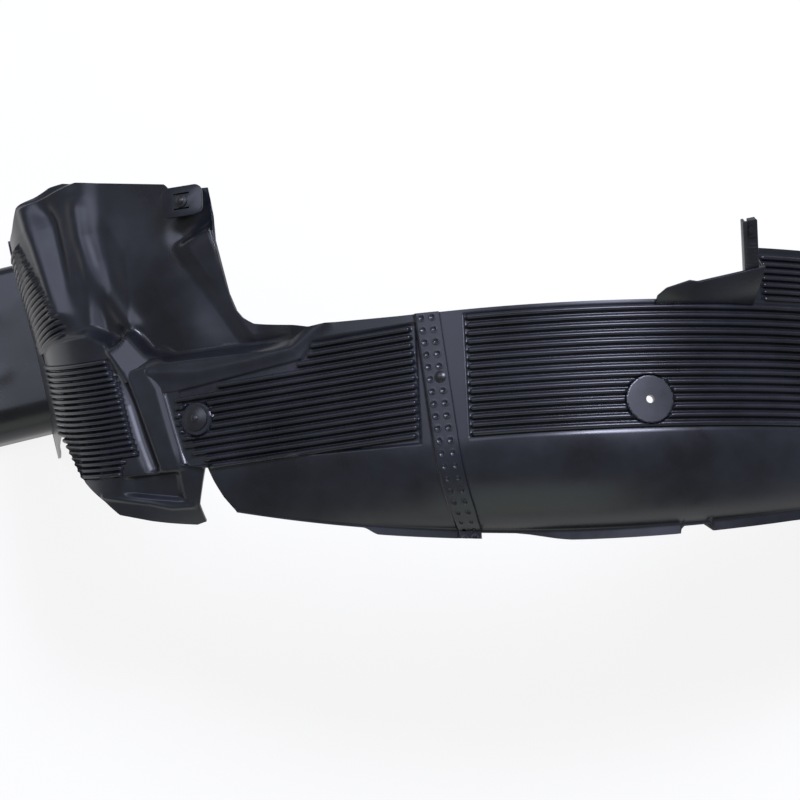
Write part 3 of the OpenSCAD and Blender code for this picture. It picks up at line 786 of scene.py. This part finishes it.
def corner_relief(sizes):
    """Relief of the ribbed corner, its groove, the slanted bar and the recess below it."""
    across_tilt = math.cos(CORNER_RIB_TILT)
    normal = (
        -math.sin(RIB_SKEW_TURN) * across_tilt,
        math.cos(RIB_SKEW_TURN) * across_tilt,
        math.sin(CORNER_RIB_TILT),
    )
    right_y = [-14.0, 6.0, 12.0, 28.0, 55.0, 78.0, 88.0, 96.0]
    right_s = [268.0, 266.0, 251.0, 257.0, 264.0, 270.0, 277.0, 279.0]
    top = CORNER_RIB_TOP * normal[1] + 0.8

    def relief(s, y, plain=False):
        u, v = corner_place(s, y, sizes)
        tuck = -4.0 * smooth((y - wall_edge_y(s) - 2.0) / 3.0) * smooth((s - 222.0) / 6.0)
        point = corner_in_panel(u, v, np.zeros_like(u), sizes)
        plane = point[..., 0] * normal[0] + point[..., 1] * normal[1] + point[..., 2] * normal[2]
        plane = plane - CORNER_S * math.sin(RIB_SKEW_TURN) * across_tilt
        index = np.clip(np.round((top - plane) / sizes.corner_pitch), 0, CORNER_RIBS - 1)
        across = plane - top + index * sizes.corner_pitch
        rib_y = CORNER_RIB_TOP - index * sizes.corner_pitch / across_tilt
        start = np.interp(rib_y, right_y, right_s)
        end = np.maximum(start + 1.5 - s, 0.0)
        ribs = rib_profile(np.hypot(across, end), CORNER_RIB_W)
        panel = (CORNER_RIBS - 1) * sizes.corner_pitch
        inside = np.minimum(s - start + 3.0, np.minimum(top - plane + 3.0, plane - top + panel + 3))
        pan = -CORNER_PAN * smooth(inside / 2.0)
        bar_left = np.interp(y, [2.0, 30.0, 80.0], [233.0, 243.0, 262.0])
        bar_right = np.interp(y, *BAR_RIGHT)
        bar = smooth((bar_left - s) / 9.0) * smooth((s - bar_right + 6.0) / 10.0)
        bar = bar * smooth((y + 5.0) / 5.0) * smooth((96.0 - y) / 8.0)
        groove = swell(s, y, GROOVE, 6.0, -GROOVE_D) * (1 - bar)
        recess = -RECESS_D * smooth((s - 206.0) / 12.0) * smooth((270.0 - s) / 16.0)
        recess = recess * smooth((-3.0 - y) / 4.0) * smooth((y + 27.0 + (s - 236.0) * -0.2) / 4.0)
        fall = hollow(s, y, wall_edge_y(s))
        if plain:
            return pan + fall + tuck + np.minimum(groove + recess, 0.0)
        crease = swell(s, y, CREASE, 2.2, CREASE_H)
        return pan + BAR_H * bar + groove + fall + tuck + recess + crease + CORNER_RIB_H * ribs

    return relief


def build_front_corner(sizes, material):
    """The corner's ribbed panel, wrapped round the bend, with the bar on its rear edge."""
    p, q = grid(np.linspace(0.0, 1.0, 165), np.linspace(0.0, 1.0, 370))
    low_s = [198.0, 206.0, 230.0, 277.0, 290.0, 315.0, 328.0, 342.0, 360.0, 400.0]
    low_y = [-54.0, -56.0, -50.0, -37.0, -23.0, -4.0, 12.0, 28.0, 41.0, 46.0]
    s = 400.0 - p * 200.0
    for _ in range(6):
        low = np.interp(s, low_s, low_y)
        y = low + q * (CORNER_TOP - low)
        right = np.interp(y, [-60.0, -36.0, -20.0, -3.0], [197.0, 198.0, 192.0, 186.0])
        right = np.where(y > -3.0, np.interp(y, *BAR_RIGHT) - 17.0, right)
        bend_end = corner_bend_end(y, sizes)
        s = bend_end + p * (right - bend_end)
    relief = corner_relief(sizes)
    return sheet("front_liner_corner", s, y, corner_skin(sizes), relief, sizes, material)


def corner_bend_end(y, sizes):
    """Unrolled s at which the corner's bend ends, a little over the leg, for a place across."""
    bend = sizes.corner_r * math.radians(sizes.corner_turn)
    c, w = cos_sin(sizes.corner_yaw)
    return CORNER_S + (bend + 3.0 + (y - CORNER_Y) * w) / c


# Front moulding: the tall wall with its column of ribs


# The column of ribs, then the lines of the wall's relief as places (s, y) of the unrolled front
COLUMN_RIBS = 19
COLUMN_PITCH = 5.3
COLUMN_FIRST = 142.0
COLUMN_RIB_H = 3.3
COLUMN_RIB_W = 3.1
RIDGE_ONE = [(378.0, 256.0), (367.0, 244.0), (354.0, 215.0), (345.0, 180.0), (338.0, 150.0)]
VALLEY = [(352.0, 254.0), (338.0, 232.0), (332.0, 204.0), (327.0, 172.0), (322.0, 150.0)]
RIDGE_TWO = [(309.0, 250.0), (305.0, 215.0), (297.0, 190.0), (285.0, 162.0), (270.0, 140.0), (262.0, 128.0)]
FLANGE_TOP = ((153.0, 107.0), (189.0, 164.0))
FLANGE_LOW = ((189.0, 164.0), (212.0, 199.0))
TAB_FOLD = ((209.0, 196.0), (176.0, 209.0))
FLANGE_H = 4.2
FOLD_AT = (305.0, 267.0)
FOLD_AWAY = (17.0, 67.0)
FOLD_D = 7.0
TAB_DIP = [(203.0, 204.0), (182.0, 216.0)]
SHOULDER_SWELL = [(215.0, 160.0), (203.0, 124.0)]
FACET_RIGHT = ((260.0, 127.0), (229.0, 90.0))
FACET_LEFT = ((261.0, 83.0), (279.0, 109.0))
FACET_TOP = ((279.0, 109.0), (260.0, 127.0))
COLUMN_AT = (0, 6, 12, 18)
COLUMN_STARTS = (24.0, 28.0, 34.0, 40.0)


def wall_relief(sizes):
    """Relief of the tall wall: hollow, ridges, valley, facet, fold and the column of short ribs."""
    bend = sizes.corner_r * math.radians(sizes.corner_turn)

    def relief(s, y, plain=False):
        u, v = corner_place(s, y, sizes)
        edge = wall_edge_y(s)
        depth = y - edge
        fade = smooth((u + 62.0) / 20.0)
        top_end = smooth((262.0 - y) / 22.0)
        low_end = smooth((y - 122.0) / 30.0)
        ridges = (
            swell(s, y, RIDGE_ONE, 10.0, 6.5) * low_end
            + swell(s, y, VALLEY, 8.0, -4.0) * smooth((y - 140.0) / 50.0) * top_end
            + swell(s, y, RIDGE_TWO, 10.0, 4.8) * top_end * smooth((y - 112.0) / 24.0)
            + swell(s, y, SHOULDER_SWELL, 24.0, 3.6)
        )
        past_edge = np.minimum(side_of(s, y, *FLANGE_TOP), side_of(s, y, *FLANGE_LOW))
        flange = FLANGE_H * smooth((past_edge + 6.0) / 16.0) * smooth((depth - 6.0) / 12.0)
        flange = flange * smooth((side_of(s, y, *TAB_FOLD) + 4.0) / 10.0)
        tab_dip = swell(s, y, TAB_DIP, 10.0, -3.5)
        outside = (s - FOLD_AT[0]) * FOLD_AWAY[0] + (y - FOLD_AT[1]) * FOLD_AWAY[1]
        fold = -FOLD_D * smooth(outside / math.hypot(*FOLD_AWAY) / 5.0)
        shelf = 1 - 0.45 * smooth((s - 285.0) / 20.0) - 0.3 * smooth((s - 305.0) / 25.0)
        lift = hollow(s, y, edge) * shelf * fade + ridges * fade * smooth(depth / 14.0) + fold * fade
        lift = lift + (flange + tab_dip) * fade - 0.6 - 0.7 * smooth(depth / 8.0)
        facet = smooth((side_of(s, y, *FACET_RIGHT) + 5.0) / 10.0)
        facet = facet * smooth((side_of(s, y, *FACET_LEFT) + 4.0) / 8.0)
        facet = facet * smooth((side_of(s, y, *FACET_TOP) + 4.0) / 10.0)
        lift = lift * (1 - facet) + facet * (0.3 * (s - 229.0) - 0.14 * (y - 95.0) - 8.0)
        lift = lift + bulge(u, v)
        if plain:
            return lift
        index = np.clip(np.round((v - COLUMN_FIRST) / COLUMN_PITCH), 0, COLUMN_RIBS - 1)
        across = v - COLUMN_FIRST - index * COLUMN_PITCH
        start = -math.radians(1.0) * sizes.corner_r * np.interp(index, COLUMN_AT, COLUMN_STARTS)
        end = np.maximum(np.maximum(u - start, -bend - 2.0 - u), 0.0)
        return lift + COLUMN_RIB_H * rib_profile(np.hypot(across, end), COLUMN_RIB_W)

    return relief


# Inboard edge of the wall, as places (s, y) of the unrolled front
WALL_TOP = [
    (72, 107.5), (84, 108), (98, 111), (140, 119), (150, 125), (158, 135), (164, 158), (168, 184),
    (171, 211), (173, 227), (176, 243), (213, 245), (219, 252), (280, 262), (327, 269.3), (345, 268),
    (376, 254), (392, 236), (420, 226), (520, 195),
]


def wall_top(s):
    """Inboard edge of the wall, from its fillet on the run to its top corner."""
    return np.interp(s, *zip(*WALL_TOP))


def build_front_wall(sizes, material):
    """The tall wall over the front corner."""
    p, q = grid(run([0.0, 0.3, 0.65, 1.0], [0.009, 0.0055, 0.0035]), np.linspace(0.0, 1.0, 240))
    s = 420.0 - p * 320.0
    for _ in range(8):
        low = wall_edge_y(s) - 7.0
        y = low + q * (wall_top(s) - low)
        bend_end = corner_bend_end(y, sizes) + 2.0
        s = bend_end + p * (72.0 - bend_end)
    relief = wall_relief(sizes)
    return sheet("front_liner_wall", s, y, corner_skin(sizes), relief, sizes, material)


LEG_RUN = 214.0


def build_front_leg(sizes, material):
    """The plain front leg, from the bend to the ground."""
    bend = sizes.corner_r * math.radians(sizes.corner_turn)
    foot = -bend - LEG_RUN
    u, q = grid(run([foot, -bend + 2.0], [6.0]), np.linspace(0.0, 1.0, 60))
    low = np.interp(u, [foot, -bend - LEG_RUN / 2, -bend], [98.0, 84.0, 68.0])
    v = low + q * (INBOARD - 12.0 - low)

    def place(uu, vv, h):
        return panel_to_part(corner_in_panel(uu, vv, h, sizes), sizes)

    def relief(uu, vv, plain=False):
        swelling = 1.5 * smooth((vv - 60) / 30) * smooth((uu + bend + 170) / 60)
        swelling = swelling * smooth((-bend - 25 - uu) / 40)
        return swelling + bulge(uu, vv) * smooth((uu + bend + 150.0) / 150.0)

    return sheet("front_liner_leg", u, v, place, relief, sizes, material, thin=(2, 2))


# Front moulding: apron and tab


APRON_X = -508.0
APRON_Y = 124.5
APRON_H = 44.0
APRON_YAW = 11.2
APRON_OUT_R = 30.0
APRON_IN_R = 12.0
APRON_FLAT = (-14.0, 118.0)
APRON_SWELLS = ([(-110, 20), (-40, 20)], [(-110, 80), (-40, 80)])
FRONT_END = -600.0


def tray_section(b, h):
    """Height and place across the apron: a flat top between two rounded edges with straight sides."""
    quarter = math.pi / 2
    low, high = APRON_FLAT
    out = np.maximum(low - b, 0.0)
    turn = np.minimum(out / APRON_OUT_R, quarter)
    side = np.maximum(out - APRON_OUT_R * quarter, 0.0)
    inn = np.maximum(b - high, 0.0)
    turn_in = np.minimum(inn / APRON_IN_R, quarter)
    side_in = np.maximum(inn - APRON_IN_R * quarter, 0.0)
    out_r, in_r = APRON_OUT_R + h, APRON_IN_R + h
    y = np.clip(b, low, high) - out_r * np.sin(turn) + in_r * np.sin(turn_in)
    z = out_r * (np.cos(turn) - 1) + in_r * (np.cos(turn_in) - 1)
    z = z + h * np.cos(turn) * np.cos(turn_in) - h * (np.cos(turn) - 1) - h * (np.cos(turn_in) - 1)
    return z - side - side_in, y


def build_front_apron(sizes, material):
    """The apron in front of the leg, an inverted tray that stands on the ground."""
    low, high = APRON_FLAT
    b_line = run([low - 47.1 - 13.9, low, high, high + 18.8 + 32.1], [1.5, 4.0, 1.2])
    x, b = grid(run([-160.0, 3.0], [5.0]), b_line)
    c, w = cos_sin(APRON_YAW)

    def place(xx, bb, h):
        z, y = tray_section(bb, h)
        px = np.maximum(xx * c - y * w + APRON_X, FRONT_END)
        return np.stack([px, xx * w + y * c + APRON_Y, z - GROUND_DROP + APRON_H], -1)

    def relief(xx, bb, plain=False):
        return sum(swell(xx, bb, line, 9, 0.8) for line in APRON_SWELLS)

    return sheet("front_liner_apron", x, b, place, relief, sizes, material, thin=(2, 3))


# Tab, its skirts and its slots, in the flat front run's frame
TAB_AT = (-193.0, 229.0)
TAB_H = 9.0
TAB_L = 40.0
TAB_W = 27.0
TAB_R = 8.0
TAB_SKIRT = 16.0
TAB_SHELF = 1.2
SKIRT_IN = 0.6
SKIRT_SHORT = 7
SLOT_Y = 6.6
SLOT_SIZE = (15.0, 1.4, 12.0)


def build_tab(sizes, material):
    """The raised fixing tab, with its skirt down to the wall on two sides and its two slots."""
    half_l, half_w = TAB_L / 2, TAB_W / 2
    outline = []
    for quarter, (side_x, side_y) in enumerate(((1, 1), (-1, 1), (-1, -1), (1, -1))):
        for step in range(9):
            turn = math.radians(90 * quarter + step * 11.25)
            x, y = side_x * (half_l - TAB_R), side_y * (half_w - TAB_R)
            outline.append((x + TAB_R * math.cos(turn), y + TAB_R * math.sin(turn)))
    c, w = cos_sin(sizes.front_slope)
    t = sizes.wall_t
    on_panel = mathutils.Matrix(
        ((c, 0, -w, -sizes.arch_r * w), (0, 1, 0, 0), (w, 0, c, sizes.arch_r * c), (0, 0, 0, 1))
    ) @ mathutils.Matrix.Translation((TAB_AT[0], TAB_AT[1], TAB_H))

    def build(bm):
        add_prism(bm, outline, 0, t, on_panel)
        left, back = -half_l + SKIRT_IN, half_w - SKIRT_IN
        side = rectangle(left, -half_w + SKIRT_SHORT, left + t, half_w - SKIRT_SHORT)
        rear = rectangle(-half_l + SKIRT_SHORT, back - t, half_l - SKIRT_SHORT, back)
        for skirt in (side, rear):
            add_prism(bm, skirt, -TAB_SKIRT, t - TAB_SHELF, on_panel)

    piece = solid_from(build, "front_liner_tab", material, sizes)
    for side in (-SLOT_Y, SLOT_Y):
        cut_slot(piece, on_panel @ mathutils.Matrix.Translation((0, side, 0)), SLOT_SIZE, sizes)
    return piece


def cut_slot(piece, matrix, size, sizes):
    """Cuts a straight slot through a piece."""
    bm = bmesh.new()
    bmesh.ops.create_cube(bm, size=1.0)
    place = mathutils.Matrix.Translation(mathutils.Vector(frame_offset(sizes)) * MM)
    for vert in bm.verts:
        vert.co = place @ ((matrix @ mathutils.Vector(x * y for x, y in zip(vert.co, size))) * MM)
    cut_with(piece, bm, overlapping=True)


def cut_with(piece, bm, overlapping=False):
    """Takes a mesh out of a piece, which may be of overlapping solids, and leaves a finished mesh."""
    mesh = bpy.data.meshes.new("cutter")
    bmesh.ops.recalc_face_normals(bm, faces=bm.faces)
    bm.to_mesh(mesh)
    bm.free()
    cutter = linked("cutter", mesh)
    modifier = piece.modifiers.new("cut", "BOOLEAN")
    modifier.operation = "DIFFERENCE"
    modifier.solver = "EXACT"
    modifier.use_self = overlapping
    modifier.object = cutter
    bpy.context.view_layer.update()
    depsgraph = bpy.context.evaluated_depsgraph_get()
    piece_mesh = bpy.data.meshes.new_from_object(piece.evaluated_get(depsgraph))
    piece.modifiers.clear()
    piece.data = piece_mesh
    bpy.data.objects.remove(cutter)


# Materials


def linear(hex_code):
    """Linear colour of an sRGB hex value."""
    channels = [int(hex_code[k : k + 2], 16) / 255.0 for k in (1, 3, 5)]
    return tuple(c / 12.92 if c <= 0.04045 else ((c + 0.055) / 1.055) ** 2.4 for c in channels) + (1.0,)


def add_node(tree, kind, settings=None, links=None):
    """Adds a node with its settings and the sockets that feed it."""
    node = tree.nodes.new(kind)
    for key, value in (settings or {}).items():
        if isinstance(key, str) and hasattr(node, key):
            setattr(node, key, value)
        else:
            node.inputs[key].default_value = value
    for key, source in (links or {}).items():
        tree.links.new(source, node.inputs[key])
    return node


def new_material(name):
    """A material with its shader, ready for more nodes."""
    material = bpy.data.materials.new(name)
    material.use_nodes = True
    return material, material.node_tree, material.node_tree.nodes["Principled BSDF"]


def scale_of(size_mm):
    """Scale of a pattern whose cells are that many millimetres wide."""
    return 1.0 / (size_mm * MM)


DUST_MM = 71.43
STREAK_MM = (27.78, 1.5625, 27.78)
NYLON_CLOUD_MM = 3.846
STEEL_CLOUD_MM = 2.381


def moulded_polypropylene(finish):
    """Black polypropylene from a grained injection mould: matt, a little dusty, with a painted highlight in
    streaks on its rib tops.
    """
    material, tree, shader = new_material("moulded_polypropylene")
    shader.inputs["IOR"].default_value = 1.49
    where = add_node(tree, "ShaderNodeTexCoord").outputs["Object"]
    grain = add_node(tree, "ShaderNodeTexNoise", {"Scale": scale_of(finish.grain_mm), "Detail": 3.0},
                     {"Vector": where})
    cloud = add_node(tree, "ShaderNodeTexNoise", {"Scale": scale_of(DUST_MM), "Detail": 5.0, "Roughness": 0.6},
                     {"Vector": where})
    dust = add_node(tree, "ShaderNodeValToRGB", links={"Fac": cloud.outputs["Fac"]})
    ramp = zip(dust.color_ramp.elements, (0.35, 0.9), (finish.liner_hex, finish.dust_hex))
    for stop, position, hex_code in ramp:
        stop.position = position
        stop.color = linear(hex_code)
    streak_place = add_node(tree, "ShaderNodeMapping", {"Scale": [scale_of(size) for size in STREAK_MM]},
                            {"Vector": where})
    streak = add_node(tree, "ShaderNodeTexNoise", {"Scale": 1.0, "Detail": 6.0, "Roughness": 0.7},
                      {"Vector": streak_place.outputs["Vector"]})
    # Painted highlight: a light colour on the convex rib crests, broken into streaks by noise, in place of glints
    highlight_streaks = add_node(tree, "ShaderNodeMapRange", {"From Min": 0.62, "From Max": 0.8, "To Max": 0.45},
                      {"Value": streak.outputs["Fac"]})
    edge = add_node(tree, "ShaderNodeNewGeometry").outputs["Pointiness"]
    crest = add_node(tree, "ShaderNodeMapRange", {"From Min": 0.52, "From Max": 0.6}, {"Value": edge})
    painted_highlight = add_node(tree, "ShaderNodeMath", {"operation": "MULTIPLY"},
                    {0: highlight_streaks.outputs["Result"], 1: crest.outputs["Result"]})
    colour = add_node(tree, "ShaderNodeMix", {"data_type": "RGBA", 7: linear(finish.scuff_hex)},
                      {0: painted_highlight.outputs["Value"], 6: dust.outputs["Color"]})
    tree.links.new(colour.outputs[2], shader.inputs["Base Color"])
    span = {"From Min": 0.3, "From Max": 0.7, "To Min": 0.25, "To Max": 0.36}
    rough = add_node(tree, "ShaderNodeMapRange", span, {"Value": cloud.outputs["Fac"]})
    tree.links.new(rough.outputs["Result"], shader.inputs["Roughness"])
    bump = add_node(tree, "ShaderNodeBump", {"Strength": 0.12, "Distance": 0.1 * MM},
                    {"Height": grain.outputs["Fac"]})
    tree.links.new(bump.outputs["Normal"], shader.inputs["Normal"])
    return material


def clouded_material(name, hex_code, cloud_mm, detail, roughness):
    """A material of one colour, whose roughness drifts between two values."""
    material, tree, shader = new_material(name)
    shader.inputs["Base Color"].default_value = linear(hex_code)
    where = add_node(tree, "ShaderNodeTexCoord").outputs["Object"]
    cloud = add_node(tree, "ShaderNodeTexNoise", {"Scale": scale_of(cloud_mm), "Detail": detail},
                     {"Vector": where})
    rough = add_node(tree, "ShaderNodeMapRange", {"To Min": roughness[0], "To Max": roughness[1]},
                     {"Value": cloud.outputs["Fac"]})
    tree.links.new(rough.outputs["Result"], shader.inputs["Roughness"])
    return material, shader


def moulded_nylon(finish):
    """Black nylon from a polished mould: smoother and a little glossier than the liner."""
    material, shader = clouded_material("moulded_nylon", finish.rivet_hex, NYLON_CLOUD_MM, 3.0, (0.26, 0.42))
    shader.inputs["IOR"].default_value = 1.53
    return material


def blackened_spring_steel(finish):
    """Spring steel with a black oxide coat: dark, thinly oiled, with broad highlights."""
    material, shader = clouded_material("blackened_spring_steel", finish.clip_hex, STEEL_CLOUD_MM, 4.0, (0.3, 0.5))
    shader.inputs["Metallic"].default_value = 0.6
    return material


def pale_floor(stage):
    """Painted studio board: matt and near white, lit up to white for the camera, with the shadow kept."""
    material, tree, shader = new_material("painted_studio_board")
    shader.inputs["Base Color"].default_value = linear(stage.floor_hex)
    shader.inputs["Roughness"].default_value = 0.9
    path = add_node(tree, "ShaderNodeLightPath")
    white = add_node(tree, "ShaderNodeEmission", {"Color": linear("#ffffff"), "Strength": 1.0})
    seen = path.outputs["Is Camera Ray"]
    for kind in ("Is Glossy Ray", "Is Transmission Ray"):
        links = {0: seen, 1: path.outputs[kind]}
        seen = add_node(tree, "ShaderNodeMath", {"operation": "MAXIMUM"}, links).outputs["Value"]
    share = add_node(tree, "ShaderNodeMath", {"operation": "MULTIPLY", 1: 0.86}, {0: seen})
    mix = add_node(tree, "ShaderNodeMixShader",
                   links={0: share.outputs["Value"], 1: shader.outputs[0], 2: white.outputs[0]})
    tree.links.new(mix.outputs[0], tree.nodes["Material Output"].inputs["Surface"])
    return material


def material_from(make, finish):
    """The material that a function makes under its own name, made when it is first asked for."""
    return bpy.data.materials.get(make.__name__) or make(finish)


def recolour(node, material):
    """Gives a CAD node its material."""
    shade(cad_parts[node].data, material, SOLID_SHARP)


# Operators


def build_moulding(scene, node, builders):
    """The pieces of one moulding, the first of which stands for its CAD node."""
    material = material_from(moulded_polypropylene, scene.liner_finish)
    nodes = (node,)
    for build in builders:
        finish_piece(build(scene.liner_sizes, material), "moulded_liner", *nodes)
        nodes = ()


class LINER_OT_rear(bpy.types.Operator):
    """Build the rear moulding"""

    bl_idname = "liner.rear"
    bl_label = "Rear moulding"

    def execute(self, context):
        build_moulding(context.scene, "rear_section", (build_rear, build_rear_side, build_bracket))
        return {"FINISHED"}


class LINER_OT_front(bpy.types.Operator):
    """Build the front moulding: run, corner, wall, leg, apron and tab"""

    bl_idname = "liner.front"
    bl_label = "Front moulding"

    def execute(self, context):
        bend = (build_front_corner, build_front_wall, build_front_leg)
        builders = (build_front_run,) + bend + (build_front_apron, build_tab)
        build_moulding(context.scene, "front_section", builders)
        return {"FINISHED"}


RIVET_NODES = ("panel_rivet_body", "panel_rivet_pin", "tab_rivet_body", "tab_rivet_pin", "seam_rivet")


class LINER_OT_fasteners(bpy.types.Operator):
    """Finish the rivets, their pins and the clip"""

    bl_idname = "liner.fasteners"
    bl_label = "Fasteners"

    def execute(self, context):
        finish = context.scene.liner_finish
        nylon = material_from(moulded_nylon, finish)
        for node in RIVET_NODES:
            recolour(node, nylon)
        recolour("bracket_clip", material_from(blackened_spring_steel, finish))
        return {"FINISHED"}


# Stage: the camera in mm of the arch's frame, the lights and the floor in m of the part's


CAMERA_TARGET = (-152.0, 32.0, 400.0)
CAMERA_DISTANCE = 1500.0
CAMERA_ELEVATION = math.radians(81.0)
CAMERA_ROLL = math.radians(2.6)
CAMERA_LENS_MM = 84.375
CAMERA_SENSOR_MM = 36.0
FLOOR_HALF_M = 3.0
FLOOR_GAP_M = 0.0004
LIGHT_AIM_M = (0.0, 0.0, 0.3)
LIGHTS = (
    ("key", (0.5, 0.86, 2.1), 0.65, "#dfe3ff"),
    ("window", (-1.0, 0.7, 1.95), 1.0, "#dfe6ff"),
    ("fill", (-0.2, -1.9, 0.9), 1.4, "#f2fff0"),
)


class LINER_OT_stage(bpy.types.Operator):
    """Set the floor, the soft lights and the camera"""

    bl_idname = "liner.stage"
    bl_label = "Stage"

    def execute(self, context):
        scene = context.scene
        stage = scene.liner_stage
        scene.view_settings.view_transform = "Standard"
        add_floor(stage)
        add_world(scene, stage)
        for name, place, size, hex_code in LIGHTS:
            add_area(name + "_light", place, size, getattr(stage, name + "_power"), hex_code)
        add_camera(scene)
        return {"FINISHED"}


def add_floor(stage):
    """The pale floor that the liner stands on."""
    half = FLOOR_HALF_M
    corners = np.array([(-half, -half, 0), (half, -half, 0), (half, half, 0), (-half, half, 0)], float)
    floor = mesh_piece("floor", corners - (0, 0, FLOOR_GAP_M), [[0, 1, 2, 3]], pale_floor(stage))


def add_world(scene, stage):
    """An even white sky."""
    world = bpy.data.worlds.new("studio_sky")
    scene.world = world
    world.use_nodes = True
    tree = world.node_tree
    even = tree.nodes["Background"]
    even.inputs["Color"].default_value = linear("#ffffff")
    even.inputs["Strength"].default_value = stage.sky


def add_area(name, place, size, power, hex_code):
    """A square soft light that looks at the crown of the arch."""
    light = bpy.data.lights.new(name, "AREA")
    light.size = size
    light.energy = power
    light.color = linear(hex_code)[:3]
    lamp = linked(name, light)
    lamp.location = place
    aim = mathutils.Vector(LIGHT_AIM_M) - lamp.location
    lamp.rotation_euler = aim.to_track_quat("-Z", "Y").to_euler()


def add_camera(scene):
    """The camera at the photograph's viewing angle, rolled as the photograph is."""
    up = mathutils.Vector((0.0, math.sin(CAMERA_ELEVATION), math.cos(CAMERA_ELEVATION)))
    back = mathutils.Vector((0.0, -math.cos(CAMERA_ELEVATION), math.sin(CAMERA_ELEVATION)))
    right = mathutils.Vector((1.0, 0.0, 0.0))
    rolled_right = math.cos(CAMERA_ROLL) * right - math.sin(CAMERA_ROLL) * up
    rolled_up = math.sin(CAMERA_ROLL) * right + math.cos(CAMERA_ROLL) * up
    offset = mathutils.Vector(frame_offset(scene.liner_sizes))
    eye = (mathutils.Vector(CAMERA_TARGET) + back * CAMERA_DISTANCE + offset) * MM
    data = bpy.data.cameras.new("camera")
    data.sensor_width = CAMERA_SENSOR_MM
    data.lens = CAMERA_LENS_MM
    camera = linked("camera", data)
    turn = mathutils.Matrix((rolled_right, rolled_up, back)).transposed().to_4x4()
    camera.matrix_world = mathutils.Matrix.Translation(eye) @ turn
    scene.camera = camera


class LINER_PT_panel(bpy.types.Panel):
    """Buttons that build the liner"""

    bl_label = "Wheel arch liner"
    bl_idname = "LINER_PT_panel"
    bl_space_type = "VIEW_3D"
    bl_region_type = "UI"
    bl_category = "Liner"

    def draw(self, context):
        for operator in OPERATORS:
            self.layout.operator(operator.bl_idname)


OPERATORS = (LINER_OT_rear, LINER_OT_front, LINER_OT_fasteners, LINER_OT_stage)
SETTINGS = (("liner_sizes", LinerSizes), ("liner_finish", LinerFinish), ("liner_stage", LinerStage))
CLASSES = tuple(group for _name, group in SETTINGS) + OPERATORS + (LINER_PT_panel,)


def register():
    """Registers the classes and the scene's settings."""
    for cls in CLASSES:
        bpy.utils.register_class(cls)
    for name, group in SETTINGS:
        setattr(bpy.types.Scene, name, bpy.props.PointerProperty(type=group))


def unregister():
    """Removes the settings and the classes."""
    for name, _group in SETTINGS:
        delattr(bpy.types.Scene, name)
    for cls in reversed(CLASSES):
        bpy.utils.unregister_class(cls)


def main():
    """Builds everything in order."""
    register()
    bpy.ops.liner.stage()
    bpy.ops.liner.rear()
    bpy.ops.liner.front()
    bpy.ops.liner.fasteners()


if __name__ == "__main__":
    main()
